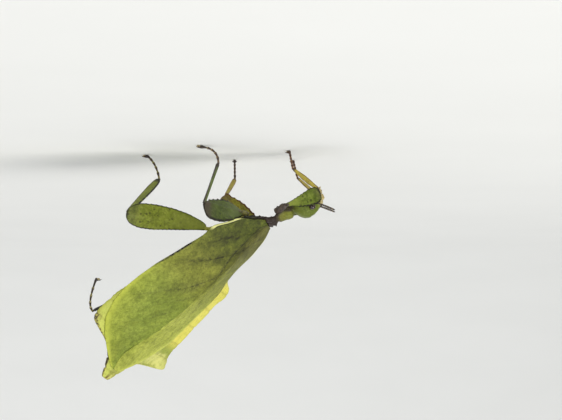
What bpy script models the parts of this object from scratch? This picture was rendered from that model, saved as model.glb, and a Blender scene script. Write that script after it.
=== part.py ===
"""Leaf insect: an adult female of the Phyllium kind, life size, standing on five feet with its abdomen raised.

Lengths below are in millimetres. The stance frame has +X to the head, +Y to the insect's left and +Z up,
with the floor at Z = 0. The body itself is drawn in coordinates that follow its back: sigma runs to the tail
from where the wings begin, across runs to the insect's left, and rise runs out of the back.
"""
import math

import bmesh
import bpy
import numpy as np

MM = 0.001
GAP = 0.3

# How the body lies. The abdomen points up and back, and is rolled so that its back faces up and left.
WING_ROOT = np.array([14.0, 1.3, 16.5])
ABDOMEN_TAIL = np.array([-0.713, -0.107, 0.696])
ABDOMEN_LEFT = np.array([-0.463, 0.815, -0.348])
THORAX_TAIL = np.array([-0.955, -0.06, 0.265])
BEND_START = 2.0
BEND_LENGTH = 5.0

# The back slopes down to each side like a low roof, a little steeper on the right.
LEFT_SLOPE = 0.26
# The right side falls away most steeply at the waist, a quarter of the way along: (sigma, slope).
RIGHT_SLOPES = [
    (0.0, 0.37), (2.0, 0.4), (4.0, 0.45), (7.0, 0.47), (10.0, 0.54), (12.0, 0.575), (14.0, 0.565), (16.0, 0.54),
    (18.0, 0.46), (20.0, 0.437), (24.0, 0.42), (28.0, 0.4), (32.0, 0.344), (35.0, 0.3), (49.3, 0.3),
]
RIDGE_ROUND = 1.5

# Along the abdomen the ridge is arched, and the head is turned upright on the neck.
ARCH = [(0.0, 0.0), (6.0, 0.6), (14.0, 1.4), (20.0, 1.3), (26.0, 0.9), (33.0, 0.2), (40.0, -0.5), (45.0, -0.4), (49.3, 0.0)]
HEAD_TWIST = math.radians(24.0)
TWIST_PLACES = (-9.0, -5.5)

# Thorax and head, as (sigma, half width) and so on.
MESO_FRONT = -3.2
MESO_BACK = 2.8
META_FRONT = 3.1
META_BACK = 9.4
PRO_FRONT = -7.3
PRO_BACK = -3.5
HEAD_BACK = -7.6
HEAD_FRONT = -13.6
MESO_DEPTHS = [1.5, 2.1, 3.4, 4.2]
META_DEPTHS = [4.4, 5.2]

# Wings: the costal edge as (sigma, distance from the midline).
WING_THICK = 0.55
WING_SEAM = 0.15
WING_FRONT = -1.0
WING_BACK = 46.2
WING_SWEEP = 0.28
LEFT_WING_EDGE = [
    (-1.0, 2.6), (0.2, 5.6), (1.7, 7.5), (4.0, 9.0), (7.3, 10.3), (12.8, 11.5), (16.5, 12.8),
    (21.6, 14.2), (26.0, 14.8), (30.0, 14.9), (34.0, 14.1), (38.0, 12.2), (41.0, 9.2), (43.5, 5.8),
    (45.4, 2.8), (46.2, 0.9),
]
RIGHT_WING_EDGE = [
    (-1.0, 2.6), (0.2, 4.7), (1.7, 6.2), (4.0, 7.6), (7.3, 8.6), (12.8, 9.2), (16.5, 9.5),
    (21.6, 10.1), (26.0, 10.5), (30.0, 10.7), (34.0, 10.4), (38.0, 9.4), (41.0, 7.7), (43.5, 5.2),
    (45.4, 2.7), (46.2, 0.9),
]
VEIN_PLACES = [0.10, 0.215, 0.33, 0.445, 0.56, 0.68, 0.80]
VEIN_RISE = 0.3
VEIN_HALF = 0.007

# Abdomen: each margin as (sigma, distance from the midline).
ABDOMEN_FRONT = 9.8
ABDOMEN_BACK = 42.9
TIP_FRONT = 43.25
TIP_BACK = 49.3
UNDER_WING = WING_THICK + GAP + 0.2
LAMELLA = 0.75
BELLY_DEPTH = 5.4
BELLY_HALF = 4.6
LEFT_MARGIN = [
    (9.8, 7.5), (11.0, 8.4), (13.0, 9.4), (16.0, 10.4), (19.0, 11.5), (22.0, 12.6), (25.5, 13.6),
    (29.0, 14.4), (32.0, 14.9), (36.0, 14.8), (38.8, 14.5), (40.1, 13.6), (40.9, 11.4), (42.0, 7.8), (42.9, 5.8),
]
RIGHT_MARGIN = [
    (9.8, 7.3), (11.0, 8.0), (13.0, 8.6), (14.6, 9.2), (15.7, 10.6), (16.5, 13.8), (17.3, 15.0), (18.2, 15.3),
    (20.0, 14.8), (26.0, 15.3), (32.0, 15.3), (35.8, 15.1), (37.5, 16.2), (39.5, 18.2), (40.9, 19.0), (41.8, 17.4),
    (42.3, 10.4), (42.9, 6.6),
]
LEFT_TIP = [(43.25, 5.4), (44.6, 3.7), (46.4, 2.5), (48.2, 1.5), (49.3, 0.7)]
RIGHT_TIP = [(43.25, 6.3), (44.6, 4.4), (46.4, 2.9), (48.2, 1.6), (49.3, 0.7)]
LOBE_CURL = 1.2
LOBE_PLACES = [
    (14.0, 0.0), (16.5, 0.75), (18.0, 0.75), (20.0, 0.67), (22.0, 0.35), (24.0, 0.5), (28.0, 0.55), (32.0, 0.5),
    (36.0, 0.4), (38.0, 0.35), (40.0, 0.7), (41.2, 1.0), (42.6, 0.3),
]
SEGMENT_ENDS = [13.6, 18.1, 23.4, 28.8, 34.2, 38.6]

# Legs: joints in the stance frame, except the coxa and trochanter, which are in body coordinates.
LEGS = {
    "fore_left": {
        "coxa": (-4.6, 2.85, -1.9), "trochanter": (-6.2, 3.4, -1.55),
        "knee": (26.1, 10.6, 9.1), "ankle": (20.6, 6.2, 4.2), "foot": (19.9, 4.6, 0.0), "lobe_up": (0.2, -0.5, 1.0),
    },
    "fore_right": {
        "coxa": (-4.6, -2.75, -2.4), "trochanter": (-5.7, -3.6, -2.7),
        "knee": (26.3, -9.4, 8.9), "ankle": (21.8, -15.3, 4.4), "foot": (20.9, -18.2, 0.0), "lobe_up": (0.2, 0.5, 1.0),
    },
    "mid_left": {
        "coxa": (1.2, 3.1, -3.4), "trochanter": (1.6, 4.35, -4.05),
        "knee": (1.4, 12.8, 12.2), "ankle": (4.5, 14.6, 3.7), "foot": (1.2, 15.8, 0.0), "lobe_up": (0.3, 0.55, 1.0),
    },
    "mid_right": {
        "coxa": (1.2, -3.2, -3.5), "trochanter": (1.5, -4.4, -4.1),
        "knee": (5.6, -7.0, 9.0), "ankle": (7.4, -15.0, 4.8), "foot": (7.3, -16.9, 0.0), "lobe_up": (0.3, -0.5, 1.0),
    },
    "hind_left": {
        "coxa": (7.7, 2.7, -5.45), "trochanter": (8.4, 5.6, -6.7),
        "knee": (-15.7, 6.6, 13.9), "ankle": (-9.3, -3.2, 5.7), "foot": (-12.0, -5.2, 0.0), "lobe_up": (0.0, 0.1, 1.0),
    },
    "hind_right": {
        "coxa": (8.2, -2.8, -5.4), "trochanter": (9.8, -4.7, -6.9),
        "knee": (-10.6, -9.6, 28.0), "ankle": (-24.2, -5.6, 35.2), "foot": (-23.4, -4.6, 28.1), "lobe_up": (-0.4, 0.5, 0.8),
    },
}
# Femur lobes: (place along the femur, width above its axis, width below it).
FEMUR_LOBES = {
    "fore": [
        (0.0, 0.4, 0.4), (0.14, 0.7, 0.4), (0.3, 1.5, 0.6), (0.55, 2.4, 0.75), (0.8, 2.7, 1.0), (0.93, 2.2, 0.8),
        (1.0, 0.9, 0.4),
    ],
    "mid": [
        (0.0, 0.4, 0.4), (0.1, 0.4, 1.1), (0.28, 0.7, 2.0), (0.42, 1.7, 2.3), (0.58, 3.0, 2.1), (0.78, 3.6, 1.6),
        (0.92, 2.8, 1.0), (1.0, 0.7, 0.6),
    ],
    "hind": [
        (0.0, 0.4, 0.4), (0.08, 0.6, 1.0), (0.25, 1.3, 2.0), (0.45, 2.1, 2.8), (0.65, 2.6, 3.1), (0.82, 2.8, 2.8),
        (0.94, 2.1, 1.8), (1.0, 0.9, 0.8),
    ],
}
FEMUR_ROWS = {"fore": 15, "mid": 19, "hind": 23}
STRUT_HALF = {"fore": 0.55, "mid": 0.6, "hind": 0.7}
LOBE_THICK = 0.55
TOOTH = {"fore": 0.12, "mid": 0.2, "hind": 0.08}
TIBIA_WIDTH = {"fore": 0.8, "mid": 0.8, "hind": 1.05}
TIBIA_LOBE = {"fore": 0.55, "mid": 0.15, "hind": 0.35}
TARSUS_HALF = 0.36
KNEE_CLEAR = {"fore": 1.8, "mid": 1.0, "hind": 1.85}
COXA_HALF = {"fore": 0.62, "mid": 0.6, "hind": 0.8}
WIDEST_BEND = math.radians(110.0)
CLAW_LENGTH = 0.8

EYE_RADIUS = 0.78
EYE_PLACE = (-11.7, 2.2, -0.45)
ANTENNA_LENGTH = 5.2
PALP_LENGTH = 1.4

GREEN = (0.20, 0.27, 0.04)
PALE_GREEN = (0.32, 0.38, 0.08)
DARK_GREEN = (0.07, 0.10, 0.03)
OLIVE = (0.14, 0.15, 0.03)
YELLOW_GREEN = (0.55, 0.55, 0.06)
PURPLE_BROWN = (0.05, 0.02, 0.03)
PALE_YELLOW = (0.62, 0.55, 0.22)


def unit(vector):
    vector = np.asarray(vector, float)
    return vector / np.linalg.norm(vector)


def turned(vector, axis, angle):
    """The vector turned about a unit axis."""
    return (
        vector * math.cos(angle)
        + np.cross(axis, vector) * math.sin(angle)
        + axis * np.dot(axis, vector) * (1 - math.cos(angle))
    )


TAIL = unit(ABDOMEN_TAIL)
LEFT = unit(ABDOMEN_LEFT - TAIL * np.dot(TAIL, ABDOMEN_LEFT))
BACK = np.cross(TAIL, LEFT) * -1
if BACK[2] < 0:
    BACK = -BACK
BEND_AXIS = unit(np.cross(TAIL, unit(THORAX_TAIL)))
BEND_ANGLE = math.acos(np.dot(TAIL, unit(THORAX_TAIL)))
STEP = 0.05


def bend_at(sigma):
    return BEND_ANGLE * min(max((BEND_START - sigma) / BEND_LENGTH, 0.0), 1.0)


def spine_table():
    """Points of the ridge line forward of the bend's start, each STEP apart."""
    points = [WING_ROOT + TAIL * BEND_START]
    count = int((BEND_START + 20) / STEP)
    for k in range(count):
        middle = BEND_START - (k + 0.5) * STEP
        points.append(points[-1] - turned(TAIL, BEND_AXIS, bend_at(middle)) * STEP)
    return np.array(points)


SPINE = spine_table()


def arch_at(sigma):
    """The arch's height, smoothed between its table's places."""
    total = 0.0
    for shift in (-3.0, -1.5, 0.0, 1.5, 3.0):
        total += at(ARCH, sigma + shift)
    return total / 5 * min(max(sigma / 3.0, 0.0), 1.0)


def body(sigma, across, rise):
    """A point of the body in the stance frame."""
    angle = bend_at(sigma)
    left = turned(LEFT, BEND_AXIS, angle)
    back = turned(BACK, BEND_AXIS, angle)
    twist = HEAD_TWIST * float(np.interp(sigma, TWIST_PLACES, (1.0, 0.0)))
    if twist:
        old_left, old_back = left, back
        left = old_left * math.cos(twist) + old_back * math.sin(twist)
        back = old_back * math.cos(twist) - old_left * math.sin(twist)
    rise = rise + arch_at(sigma)
    if sigma >= BEND_START:
        centre = WING_ROOT + TAIL * sigma
    else:
        place = (BEND_START - sigma) / STEP
        k = min(int(place), len(SPINE) - 2)
        centre = SPINE[k] + (SPINE[k + 1] - SPINE[k]) * (place - k)
    return centre + left * across + back * rise


def roof(across, sigma):
    slope = LEFT_SLOPE if across > 0 else float(at(RIGHT_SLOPES, sigma))
    return -slope * (math.hypot(across, RIDGE_ROUND) - RIDGE_ROUND)


def at(table, x, column=1):
    return float(np.interp(x, [row[0] for row in table], [row[column] for row in table]))


def material(name, colour, roughness=0.55):
    made = bpy.data.materials.new(name)
    made.use_nodes = True
    shader = made.node_tree.nodes["Principled BSDF"]
    shader.inputs["Base Color"].default_value = (*colour, 1.0)
    shader.inputs["Roughness"].default_value = roughness
    made.diffuse_color = (*colour, 1.0)
    return made


def solid(name, points, faces, colour):
    """A mesh object of one closed body, with its faces turned outwards."""
    points = np.asarray(points, float)
    faces = [tuple(face) for face in faces]
    volume = 0.0
    for a, b, c in faces:
        volume += np.dot(points[a], np.cross(points[b], points[c]))
    if volume < 0:
        faces = [face[::-1] for face in faces]
    mesh = bpy.data.meshes.new(name)
    mesh.from_pydata((points * MM).tolist(), [], faces)
    mesh.update()
    thing = bpy.data.objects.new(name, mesh)
    bpy.context.scene.collection.objects.link(thing)
    mesh.materials.append(material(name, colour))
    return thing


def sheet(name, top, bottom, colour):
    """A solid between two grids of points. Both faces are split into triangles alike."""
    rows, columns = top.shape[:2]
    points = np.concatenate([top.reshape(-1, 3), bottom.reshape(-1, 3)])
    below = rows * columns
    faces = []
    for r in range(rows - 1):
        for c in range(columns - 1):
            a = r * columns + c
            b = a + columns
            for one in ((a, b, b + 1), (a, b + 1, a + 1)):
                faces.append(one)
                faces.append(tuple(below + k for k in one[::-1]))
    rim = [c for c in range(columns)]
    rim += [r * columns + columns - 1 for r in range(1, rows)]
    rim += [(rows - 1) * columns + c for c in range(columns - 2, -1, -1)]
    rim += [r * columns for r in range(rows - 2, 0, -1)]
    for a, b in zip(rim, rim[1:] + rim[:1]):
        faces.append((a, b, below + b))
        faces.append((a, below + b, below + a))
    return solid(name, points, faces, colour)


def loft(name, rings, colour, claws=None):
    """A solid through rings of points, closed by a fan at each end, or by two claws at its last one."""
    rings = np.asarray(rings, float)
    count, around = rings.shape[:2]
    points = list(rings.reshape(-1, 3))
    faces = []
    for r in range(count - 1):
        for k in range(around):
            a = r * around + k
            b = r * around + (k + 1) % around
            c = a + around
            d = b + around
            faces.append((a, b, d))
            faces.append((a, d, c))
    points.append(rings[0].mean(axis=0))
    first = len(points) - 1
    last = (count - 1) * around
    for k in range(around):
        faces.append((first, (k + 1) % around, k))
    if claws is None:
        points.append(rings[-1].mean(axis=0))
        for k in range(around):
            faces.append((len(points) - 1, last + k, last + (k + 1) % around))
        return solid(name, points, faces, colour)
    front, over = claws
    middle = rings[-1].mean(axis=0)
    faces.append((last, last + 3, last + 4))
    faces.append((last, last + 4, last + 7))
    for corners in ((0, 1, 2, 3), (4, 5, 6, 7)):
        loop = [last + k for k in corners]
        root = np.array([points[k] for k in loop])
        centre = root.mean(axis=0)
        out = unit(centre - middle - front * np.dot(centre - middle, front))
        for far, size in ((0.35, 0.62), (0.7, 0.4)):
            place = centre + (front + out * 0.5) * far * CLAW_LENGTH + over * 0.06
            made = len(points)
            for point in root:
                points.append(place + (point - centre) * size)
            ringed = list(range(made, made + 4))
            for k in range(4):
                m = (k + 1) % 4
                faces.append((loop[k], loop[m], ringed[m]))
                faces.append((loop[k], ringed[m], ringed[k]))
            loop = ringed
        points.append(centre + (front + out * 0.4) * CLAW_LENGTH - over * 0.03)
        for k in range(4):
            faces.append((len(points) - 1, loop[k], loop[(k + 1) % 4]))
    return solid(name, points, faces, colour)


def side_frame(direction, up):
    """Two unit vectors square to a direction: the first as near as can be to up."""
    direction = unit(direction)
    high = unit(np.asarray(up, float) - direction * np.dot(direction, up))
    return high, np.cross(direction, high)


def ring(centre, direction, up, high, wide, around=8, power=1.0):
    """Points of an oval square to a direction."""
    first, second = side_frame(direction, up)
    made = []
    for k in range(around):
        angle = 2 * math.pi * (k + 0.5) / around
        c, s = math.cos(angle), math.sin(angle)
        c = math.copysign(abs(c) ** power, c)
        s = math.copysign(abs(s) ** power, s)
        made.append(np.asarray(centre) + first * high * c + second * wide * s)
    return made


def body_ring(sigma, half, top, bottom, around=16, power=0.85):
    """An oval section of the body between two heights."""
    made = []
    middle, high = (top + bottom) / 2, (top - bottom) / 2
    for k in range(around):
        angle = 2 * math.pi * k / around
        c, s = math.cos(angle), math.sin(angle)
        c = math.copysign(abs(c) ** power, c)
        s = math.copysign(abs(s) ** power, s)
        made.append(body(sigma, half * c, middle + high * s))
    return made


def head_and_feelers():
    sections = [
        (HEAD_BACK, 1.6, -0.5, -3.0), (-8.2, 2.0, 0.0, -3.5), (-9.2, 2.35, 0.7, -3.9), (-10.4, 2.55, 1.1, -4.2),
        (-11.6, 2.45, 0.9, -4.3), (-12.6, 2.05, 0.3, -4.1), (-13.2, 1.5, -0.4, -3.7), (HEAD_FRONT, 0.8, -1.1, -3.0),
    ]
    head = loft("head", [body_ring(*one) for one in sections], GREEN)
    for side, sign in (("left", 1), ("right", -1)):
        sigma, across, rise = EYE_PLACE
        centre = body(sigma, across * sign, rise)
        cutter = ball("socket_" + side, centre, EYE_RADIUS + 0.3, GREEN)
        cut(head, cutter)
        ball("eye_" + side, centre, EYE_RADIUS, PURPLE_BROWN)
    for side, sign in (("left", 1), ("right", -1)):
        start = body(-12.55, 1.65 * sign, -1.5)
        ahead = unit((0.94, 0.17, 0.3) if sign > 0 else (0.9, -0.36, 0.22))
        cut(head, ball("pit_" + side, start + ahead * 0.5, 0.85, GREEN))
        rings = []
        for k in range(19):
            far = ANTENNA_LENGTH * k / 18
            half = 0.34 if k % 2 else 0.27
            if k > 15:
                half *= 1 - 0.14 * (k - 15)
            droop = np.array([0.0, 0.0, 1.0]) * 0.05 * (far / ANTENNA_LENGTH) ** 2 * 8
            rings.append(ring(start + ahead * (far + 0.25) + droop, ahead, (0, 0, 1), half, half, 8))
        loft("antenna_" + side, rings, PURPLE_BROWN)
    plates = []
    for far, half, top, bottom in ((0.0, 0.95, -1.5, -3.4), (0.35, 1.0, -1.4, -3.7), (0.7, 0.8, -1.8, -3.7), (1.0, 0.45, -2.2, -3.5)):
        plates.append(body_ring(HEAD_FRONT - 0.35 - far, half, top, bottom, 10, 0.9))
    loft("mouthparts", plates, PALE_YELLOW)
    for side, sign in (("left", 1), ("right", -1)):
        start = body(-14.0, 1.4 * sign, -3.5)
        ahead = unit(body(-15.0, 1.8 * sign, -5.0) - start)
        rings = []
        for k, half in enumerate((0.2, 0.25, 0.2, 0.25, 0.2, 0.25, 0.16)):
            rings.append(ring(start + ahead * PALP_LENGTH * k / 6, ahead, (0, 0, 1), half, half, 8))
        loft("palp_" + side, rings, PALE_YELLOW)


def ball(name, centre, radius, colour):
    made = bmesh.new()
    bmesh.ops.create_icosphere(made, subdivisions=3, radius=radius * MM)
    mesh = bpy.data.meshes.new(name)
    made.to_mesh(mesh)
    made.free()
    for vertex in mesh.vertices:
        vertex.co = [vertex.co[k] + float(centre[k]) * MM for k in range(3)]
    thing = bpy.data.objects.new(name, mesh)
    bpy.context.scene.collection.objects.link(thing)
    mesh.materials.append(material(name, colour, 0.25))
    return thing


def cut(thing, cutter):
    """Cuts one solid out of another, and removes the cutter."""
    step = thing.modifiers.new("cut", "BOOLEAN")
    step.operation = "DIFFERENCE"
    step.solver = "EXACT"
    step.object = cutter
    graph = bpy.context.evaluated_depsgraph_get()
    mesh = bpy.data.meshes.new_from_object(thing.evaluated_get(graph))
    thing.modifiers.clear()
    thing.data = mesh
    bpy.data.objects.remove(cutter)


def pronotum():
    """The first plate, narrow behind, with a raised rim and a cross furrow."""
    sections = [
        (PRO_BACK, 1.3, -0.15, -1.6), (-3.95, 1.6, -0.1, -2.2), (-4.6, 1.9, -0.15, -3.1), (-5.3, 2.1, -0.3, -3.45),
        (-6.0, 2.2, -0.15, -3.3), (-6.7, 2.1, -0.15, -2.9), (PRO_FRONT, 1.85, -0.45, -2.7),
    ]
    loft("pronotum", [body_ring(*one) for one in sections], DARK_GREEN)


def mesothorax():
    """The second plate: it widens backwards to toothed shoulders, above a narrower body."""
    rows = []
    places = np.linspace(MESO_FRONT, MESO_BACK, 13)
    for k, sigma in enumerate(places):
        share = (sigma - MESO_FRONT) / (MESO_BACK - MESO_FRONT)
        wide = float(np.interp(share, [0, 0.2, 0.37, 0.53, 0.7, 0.87, 1], [1.4, 1.5, 2.1, 3.4, 4.6, 5.5, 5.9]))
        if k % 2 and 0 < share < 1:
            wide += 0.35
        lower = UNDER_WING + 0.1 if sigma > WING_FRONT - 0.4 else 0.15
        keel = 0.25 if sigma <= WING_FRONT - 0.4 else 0.0
        inner = float(np.interp(share, [0, 0.35, 1], [0.9, 1.2, 2.4]))
        ledge = 0.8
        bottom = -float(np.interp(share, [0, 0.35, 0.6, 1], MESO_DEPTHS))
        inset = max(inner + 0.3, wide * 0.6)
        loop = []
        for sign in (1, -1):
            shelf = roof(inset * sign, sigma) - lower - ledge
            deep = bottom - shelf
            half = [
                (0.0, keel - lower), (0.8, roof(0.8 * sign, sigma) - lower), (wide * 0.5, roof(wide * 0.5 * sign, sigma) - lower),
                (wide, roof(wide * sign, sigma) - lower), (wide, roof(wide * sign, sigma) - lower - ledge * 0.7),
                (inset, shelf), (inner, shelf + deep * 0.3), (inner * 0.95, shelf + deep * 0.65),
                (inner * 0.6, shelf + deep * 0.93), (0.0, bottom),
            ]
            half = [(x * sign, y) for x, y in half]
            loop += half if sign > 0 else half[-2:0:-1]
        rows.append([body(sigma, x, y) for x, y in loop])
    loft("mesothorax", rows, PURPLE_BROWN)


def metathorax():
    rows = []
    for sigma in np.linspace(META_FRONT, META_BACK, 7):
        share = (sigma - META_FRONT) / (META_BACK - META_FRONT)
        wide = 3.2 + 0.6 * math.sin(math.pi * share)
        edge = float(np.interp(share, [0, 1], [5.6, 7.0]))
        lower = UNDER_WING + 0.05
        bottom = -float(np.interp(share, [0, 1], META_DEPTHS))
        loop = []
        for sign in (1, -1):
            half = [
                (0.0, -lower), (2.0, roof(2.0 * sign, sigma) - lower), (edge, roof(edge * sign, sigma) - lower),
                (edge, roof(edge * sign, sigma) - lower - 0.6), (wide + 0.5, roof(wide * sign, sigma) - lower - 0.9), (wide, -3.2),
                (wide * 0.85, bottom + 0.7), (wide * 0.45, bottom), (0.0, bottom - 0.2),
            ]
            half = [(x * sign, y) for x, y in half]
            loop += half if sign > 0 else half[-2:0:-1]
        rows.append([body(sigma, x, y) for x, y in loop])
    loft("metathorax", rows, GREEN)


def slab_shares():
    """Places across the abdomen, from its right margin to its left one."""
    half = [0.1, 0.2, 0.32, 0.46, 0.64, 0.82, 0.94, 1.0]
    return [-x for x in half[::-1]] + [0.0] + half


def belly(sigma, across, front, back, deep, half):
    """How much thicker the body is than its thin sides."""
    share = min(max((sigma - front) / (back - front), 0.0), 1.0)
    full = float(np.interp(share, [0, 0.06, 0.55, 0.9, 1], [0.8, 1.0, 0.95, 0.6, 0.5]))
    return deep * full * math.exp(-((across / half) ** 2))


def abdomen():
    places = set(np.linspace(ABDOMEN_FRONT, ABDOMEN_BACK, 9))
    for end in SEGMENT_ENDS:
        places |= {end - 0.45, end, end + 0.45}
    places |= {40.5, 41.4, 42.2, 37.2, 36.8, 17.4, 11.0}
    places = sorted(places)
    top, bottom = [], []
    for sigma in places:
        furrow = 0.28 if any(abs(sigma - end) < 0.01 for end in SEGMENT_ENDS) else 0.0
        upper, lower = [], []
        for share in slab_shares():
            margin = at(LEFT_MARGIN if share > 0 else RIGHT_MARGIN, sigma)
            across = share * (margin - (0.25 if furrow else 0.0))
            height = roof(across, sigma) - UNDER_WING
            if share < -0.7:
                height += LOBE_CURL * (-share - 0.7) / 0.3 * at(LOBE_PLACES, sigma)
            thick = LAMELLA + belly(sigma, across, ABDOMEN_FRONT, ABDOMEN_BACK, BELLY_DEPTH, BELLY_HALF)
            thick -= furrow * (1 if abs(share) < 0.5 else 0.3)
            upper.append(body(sigma, across, height))
            lower.append(body(sigma, across, height - thick))
        top.append(upper)
        bottom.append(lower)
    sheet("abdomen", np.array(top), np.array(bottom), YELLOW_GREEN)


def wing_edge(sigma, side):
    """How far the wing of one side reaches from the midline."""
    if sigma < WING_FRONT or sigma > WING_BACK:
        return 0.0
    return at(LEFT_WING_EDGE if side > 0 else RIGHT_WING_EDGE, sigma)


def abdomen_tip():
    places = [TIP_FRONT, 43.9, 44.6, 45.0, 45.4, 46.2, 46.7, 47.1, 47.9, 48.6, 49.0, TIP_BACK]
    top, bottom = [], []
    for sigma in places:
        share_back = (sigma - TIP_FRONT) / (TIP_BACK - TIP_FRONT)
        furrow = 0.15 if sigma in (45.0, 47.1) else 0.0
        upper, lower = [], []
        for share in (-1.0, -0.75, -0.45, -0.2, 0.0, 0.2, 0.45, 0.75, 1.0):
            margin = at(LEFT_TIP if share > 0 else RIGHT_TIP, sigma)
            across = share * (margin - furrow)
            height = roof(across, sigma) - UNDER_WING + 0.45 * max(share_back - 0.4, 0.0)
            thick = 0.7 + (2.4 - 1.6 * share_back) * (1 - share**2) - furrow
            upper.append(body(sigma, across, height))
            lower.append(body(sigma, across, height - thick))
        top.append(upper)
        bottom.append(lower)
    sheet("abdomen_tip", np.array(top), np.array(bottom), YELLOW_GREEN)


def wing_rows():
    """Rows along the wing. Each vein is a row with one close by on each side."""
    places = {0.0, 0.02, 0.05, 0.90, 0.96, 1.0}
    for k, vein in enumerate(VEIN_PLACES):
        places |= {vein - VEIN_HALF, vein, vein + VEIN_HALF}
        before = VEIN_PLACES[k - 1] if k else 0.05
        places.add((vein + before) / 2)
    return sorted(places)


def wings():
    across_shares = [0.0, 0.04, 0.085, 0.13, 0.24, 0.38, 0.52, 0.66, 0.8, 0.92, 1.0]
    for side, sign, colour in (("left", 1, GREEN), ("right", -1, PALE_GREEN)):
        top, bottom = [], []
        for place in wing_rows():
            inner = WING_FRONT + (WING_BACK - WING_FRONT) * place
            outer = WING_FRONT + (WING_BACK - WING_FRONT) * (place + WING_SWEEP * math.sin(math.pi * place))
            outer = min(outer, WING_BACK)
            edge = wing_edge(outer, sign)
            vein = VEIN_RISE if any(abs(place - one) < 1e-6 for one in VEIN_PLACES) else 0.0
            upper, lower = [], []
            for share in across_shares:
                sigma = inner + (outer - inner) * share**1.25
                across = WING_SEAM + (edge - WING_SEAM) * share
                height = roof(across * sign, sigma)
                ridge = 0.0
                if share > 0.09:
                    ridge = vein * (1 - 0.6 * share)
                if abs(share - 0.085) < 0.001:
                    ridge = 0.38 * (1 - 0.7 * place)
                upper.append(body(sigma, across * sign, height + ridge))
                lower.append(body(sigma, across * sign, height - WING_THICK))
            top.append(upper)
            bottom.append(lower)
        sheet("tegmen_" + side, np.array(top), np.array(bottom), colour)


def joint_clear(before, after, half):
    """How far a leg's next length starts past the joint: the gap, and room for the bend on its inner side."""
    bend = math.acos(np.clip(np.dot(unit(before), unit(after)), -1, 1))
    return GAP + half * math.tan(min(bend, WIDEST_BEND) / 2)


def femur(name, kind, root, start, knee, lobe_up):
    """A strut with a thin leaf-like lobe above and below it, toothed at its edges."""
    direction = unit(knee - start)
    start = start + direction * joint_clear(start - root, direction, COXA_HALF[kind])
    length = np.linalg.norm(knee - start)
    up, out = side_frame(direction, lobe_up)
    strut = STRUT_HALF[kind]
    table = FEMUR_LOBES[kind]
    rows = FEMUR_ROWS[kind]
    top, bottom = [], []
    for k in range(rows):
        share = k / (rows - 1)
        above, under = at(table, share, 1), at(table, share, 2)
        if k % 2 and 0.1 < share < 0.95:
            above += TOOTH[kind]
            under += TOOTH[kind] * 0.7
        thin = LOBE_THICK / 2
        r = strut * (1.0 - 0.15 * math.sin(math.pi * share))
        wide_over, wide_under = max(above, r + 0.02), max(under, r + 0.02)
        columns = [
            (-wide_under, thin), (-(wide_under + r) / 2, thin), (-r, thin), (-r * 0.6, r * 0.8), (0.0, r),
            (r * 0.6, r * 0.8), (r, thin), ((wide_over + r) / 2, thin), (wide_over, thin),
        ]
        if k in (0, rows - 1):
            columns = [(x, thick * 0.75) for x, thick in columns]
        upper, lower = [], []
        for x, thick in columns:
            point = start + direction * length * share + up * x
            upper.append(point + out * thick)
            lower.append(point - out * thick)
        top.append(upper)
        bottom.append(lower)
    sheet(name, np.array(top), np.array(bottom), DARK_GREEN if kind == "mid" else GREEN)


def tibia(name, kind, knee, ankle, lobe_up):
    direction = unit(ankle - knee)
    start = knee + direction * KNEE_CLEAR[kind]
    length = np.linalg.norm(ankle - start) - GAP / 2
    up, out = side_frame(direction, lobe_up)
    half, lobe = TIBIA_WIDTH[kind] / 2, TIBIA_LOBE[kind]
    rings = []
    for share in (0.0, 0.07, 0.16, 0.3, 0.45, 0.6, 0.72, 0.82, 0.93, 1.0):
        wide = lobe * math.sin(math.pi * share / 0.82) ** 0.8 if 0 < share < 0.8 else 0.0
        thick = half * (1.0 - 0.2 * share)
        if share in (0.0, 1.0):
            thick *= 0.7
        centre = start + direction * length * share + up * wide * 0.5
        rings.append(ring(centre, direction, up, thick + wide * 0.5, max(thick, 0.26), 8))
    loft(name, rings, OLIVE)


def tarsus(name, kind, knee, ankle, foot, ahead):
    """Five short joints, the last with a small flat sole and two claws."""
    down = unit(foot - ankle)
    start = ankle + down * joint_clear(ankle - knee, down, TARSUS_HALF + TIBIA_WIDTH[kind] * 0.3)
    standing = foot[2] < 0.01
    end = foot + np.array([0, 0, 0.42 if standing else 0.0])
    shares = (0, 0.2, 0.26, 0.44, 0.48, 0.64, 0.68, 0.82, 0.86, 1.0)
    swell = (0.65, 1.1, 0.8, 1.1, 0.8, 1.1, 0.8, 1.1, 0.85, 1.0)
    rings = []
    for share, size in zip(shares, swell):
        rings.append(ring(start + (end - start) * share, down, ahead, TARSUS_HALF * size, TARSUS_HALF * size, 8))
    front, _ = side_frame((0, 0, -1) if standing else down, ahead)
    over = (0, 0, 1) if standing else -down
    for far, high, wide in ((0.35, 0.42, 0.5), (0.95, 0.36, 0.55), (1.35, 0.3, 0.45)):
        rings.append(ring(end + front * far, front, over, high, wide, 8))
    rings = np.array(rings)
    if standing:
        rings[:, :, 2] = np.maximum(rings[:, :, 2], 0.0)
        rings[-3:, :, 2] = np.where(rings[-3:, :, 2] < 0.32, 0.0, rings[-3:, :, 2])
    loft(name, rings, PURPLE_BROWN, claws=(front, np.asarray(over, float)))


def coxa(name, start, end, kind):
    direction = unit(end - start)
    length = np.linalg.norm(end - start)
    half = COXA_HALF[kind]
    rings = []
    for share, size in ((0.0, 0.75), (0.25, 1.0), (0.6, 0.95), (0.85, 0.75), (1.0, 0.6)):
        rings.append(ring(start + direction * length * share, direction, (0, 0, 1), half * size, half * size, 10))
    loft(name, rings, YELLOW_GREEN if kind == "hind" else PURPLE_BROWN)


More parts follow.
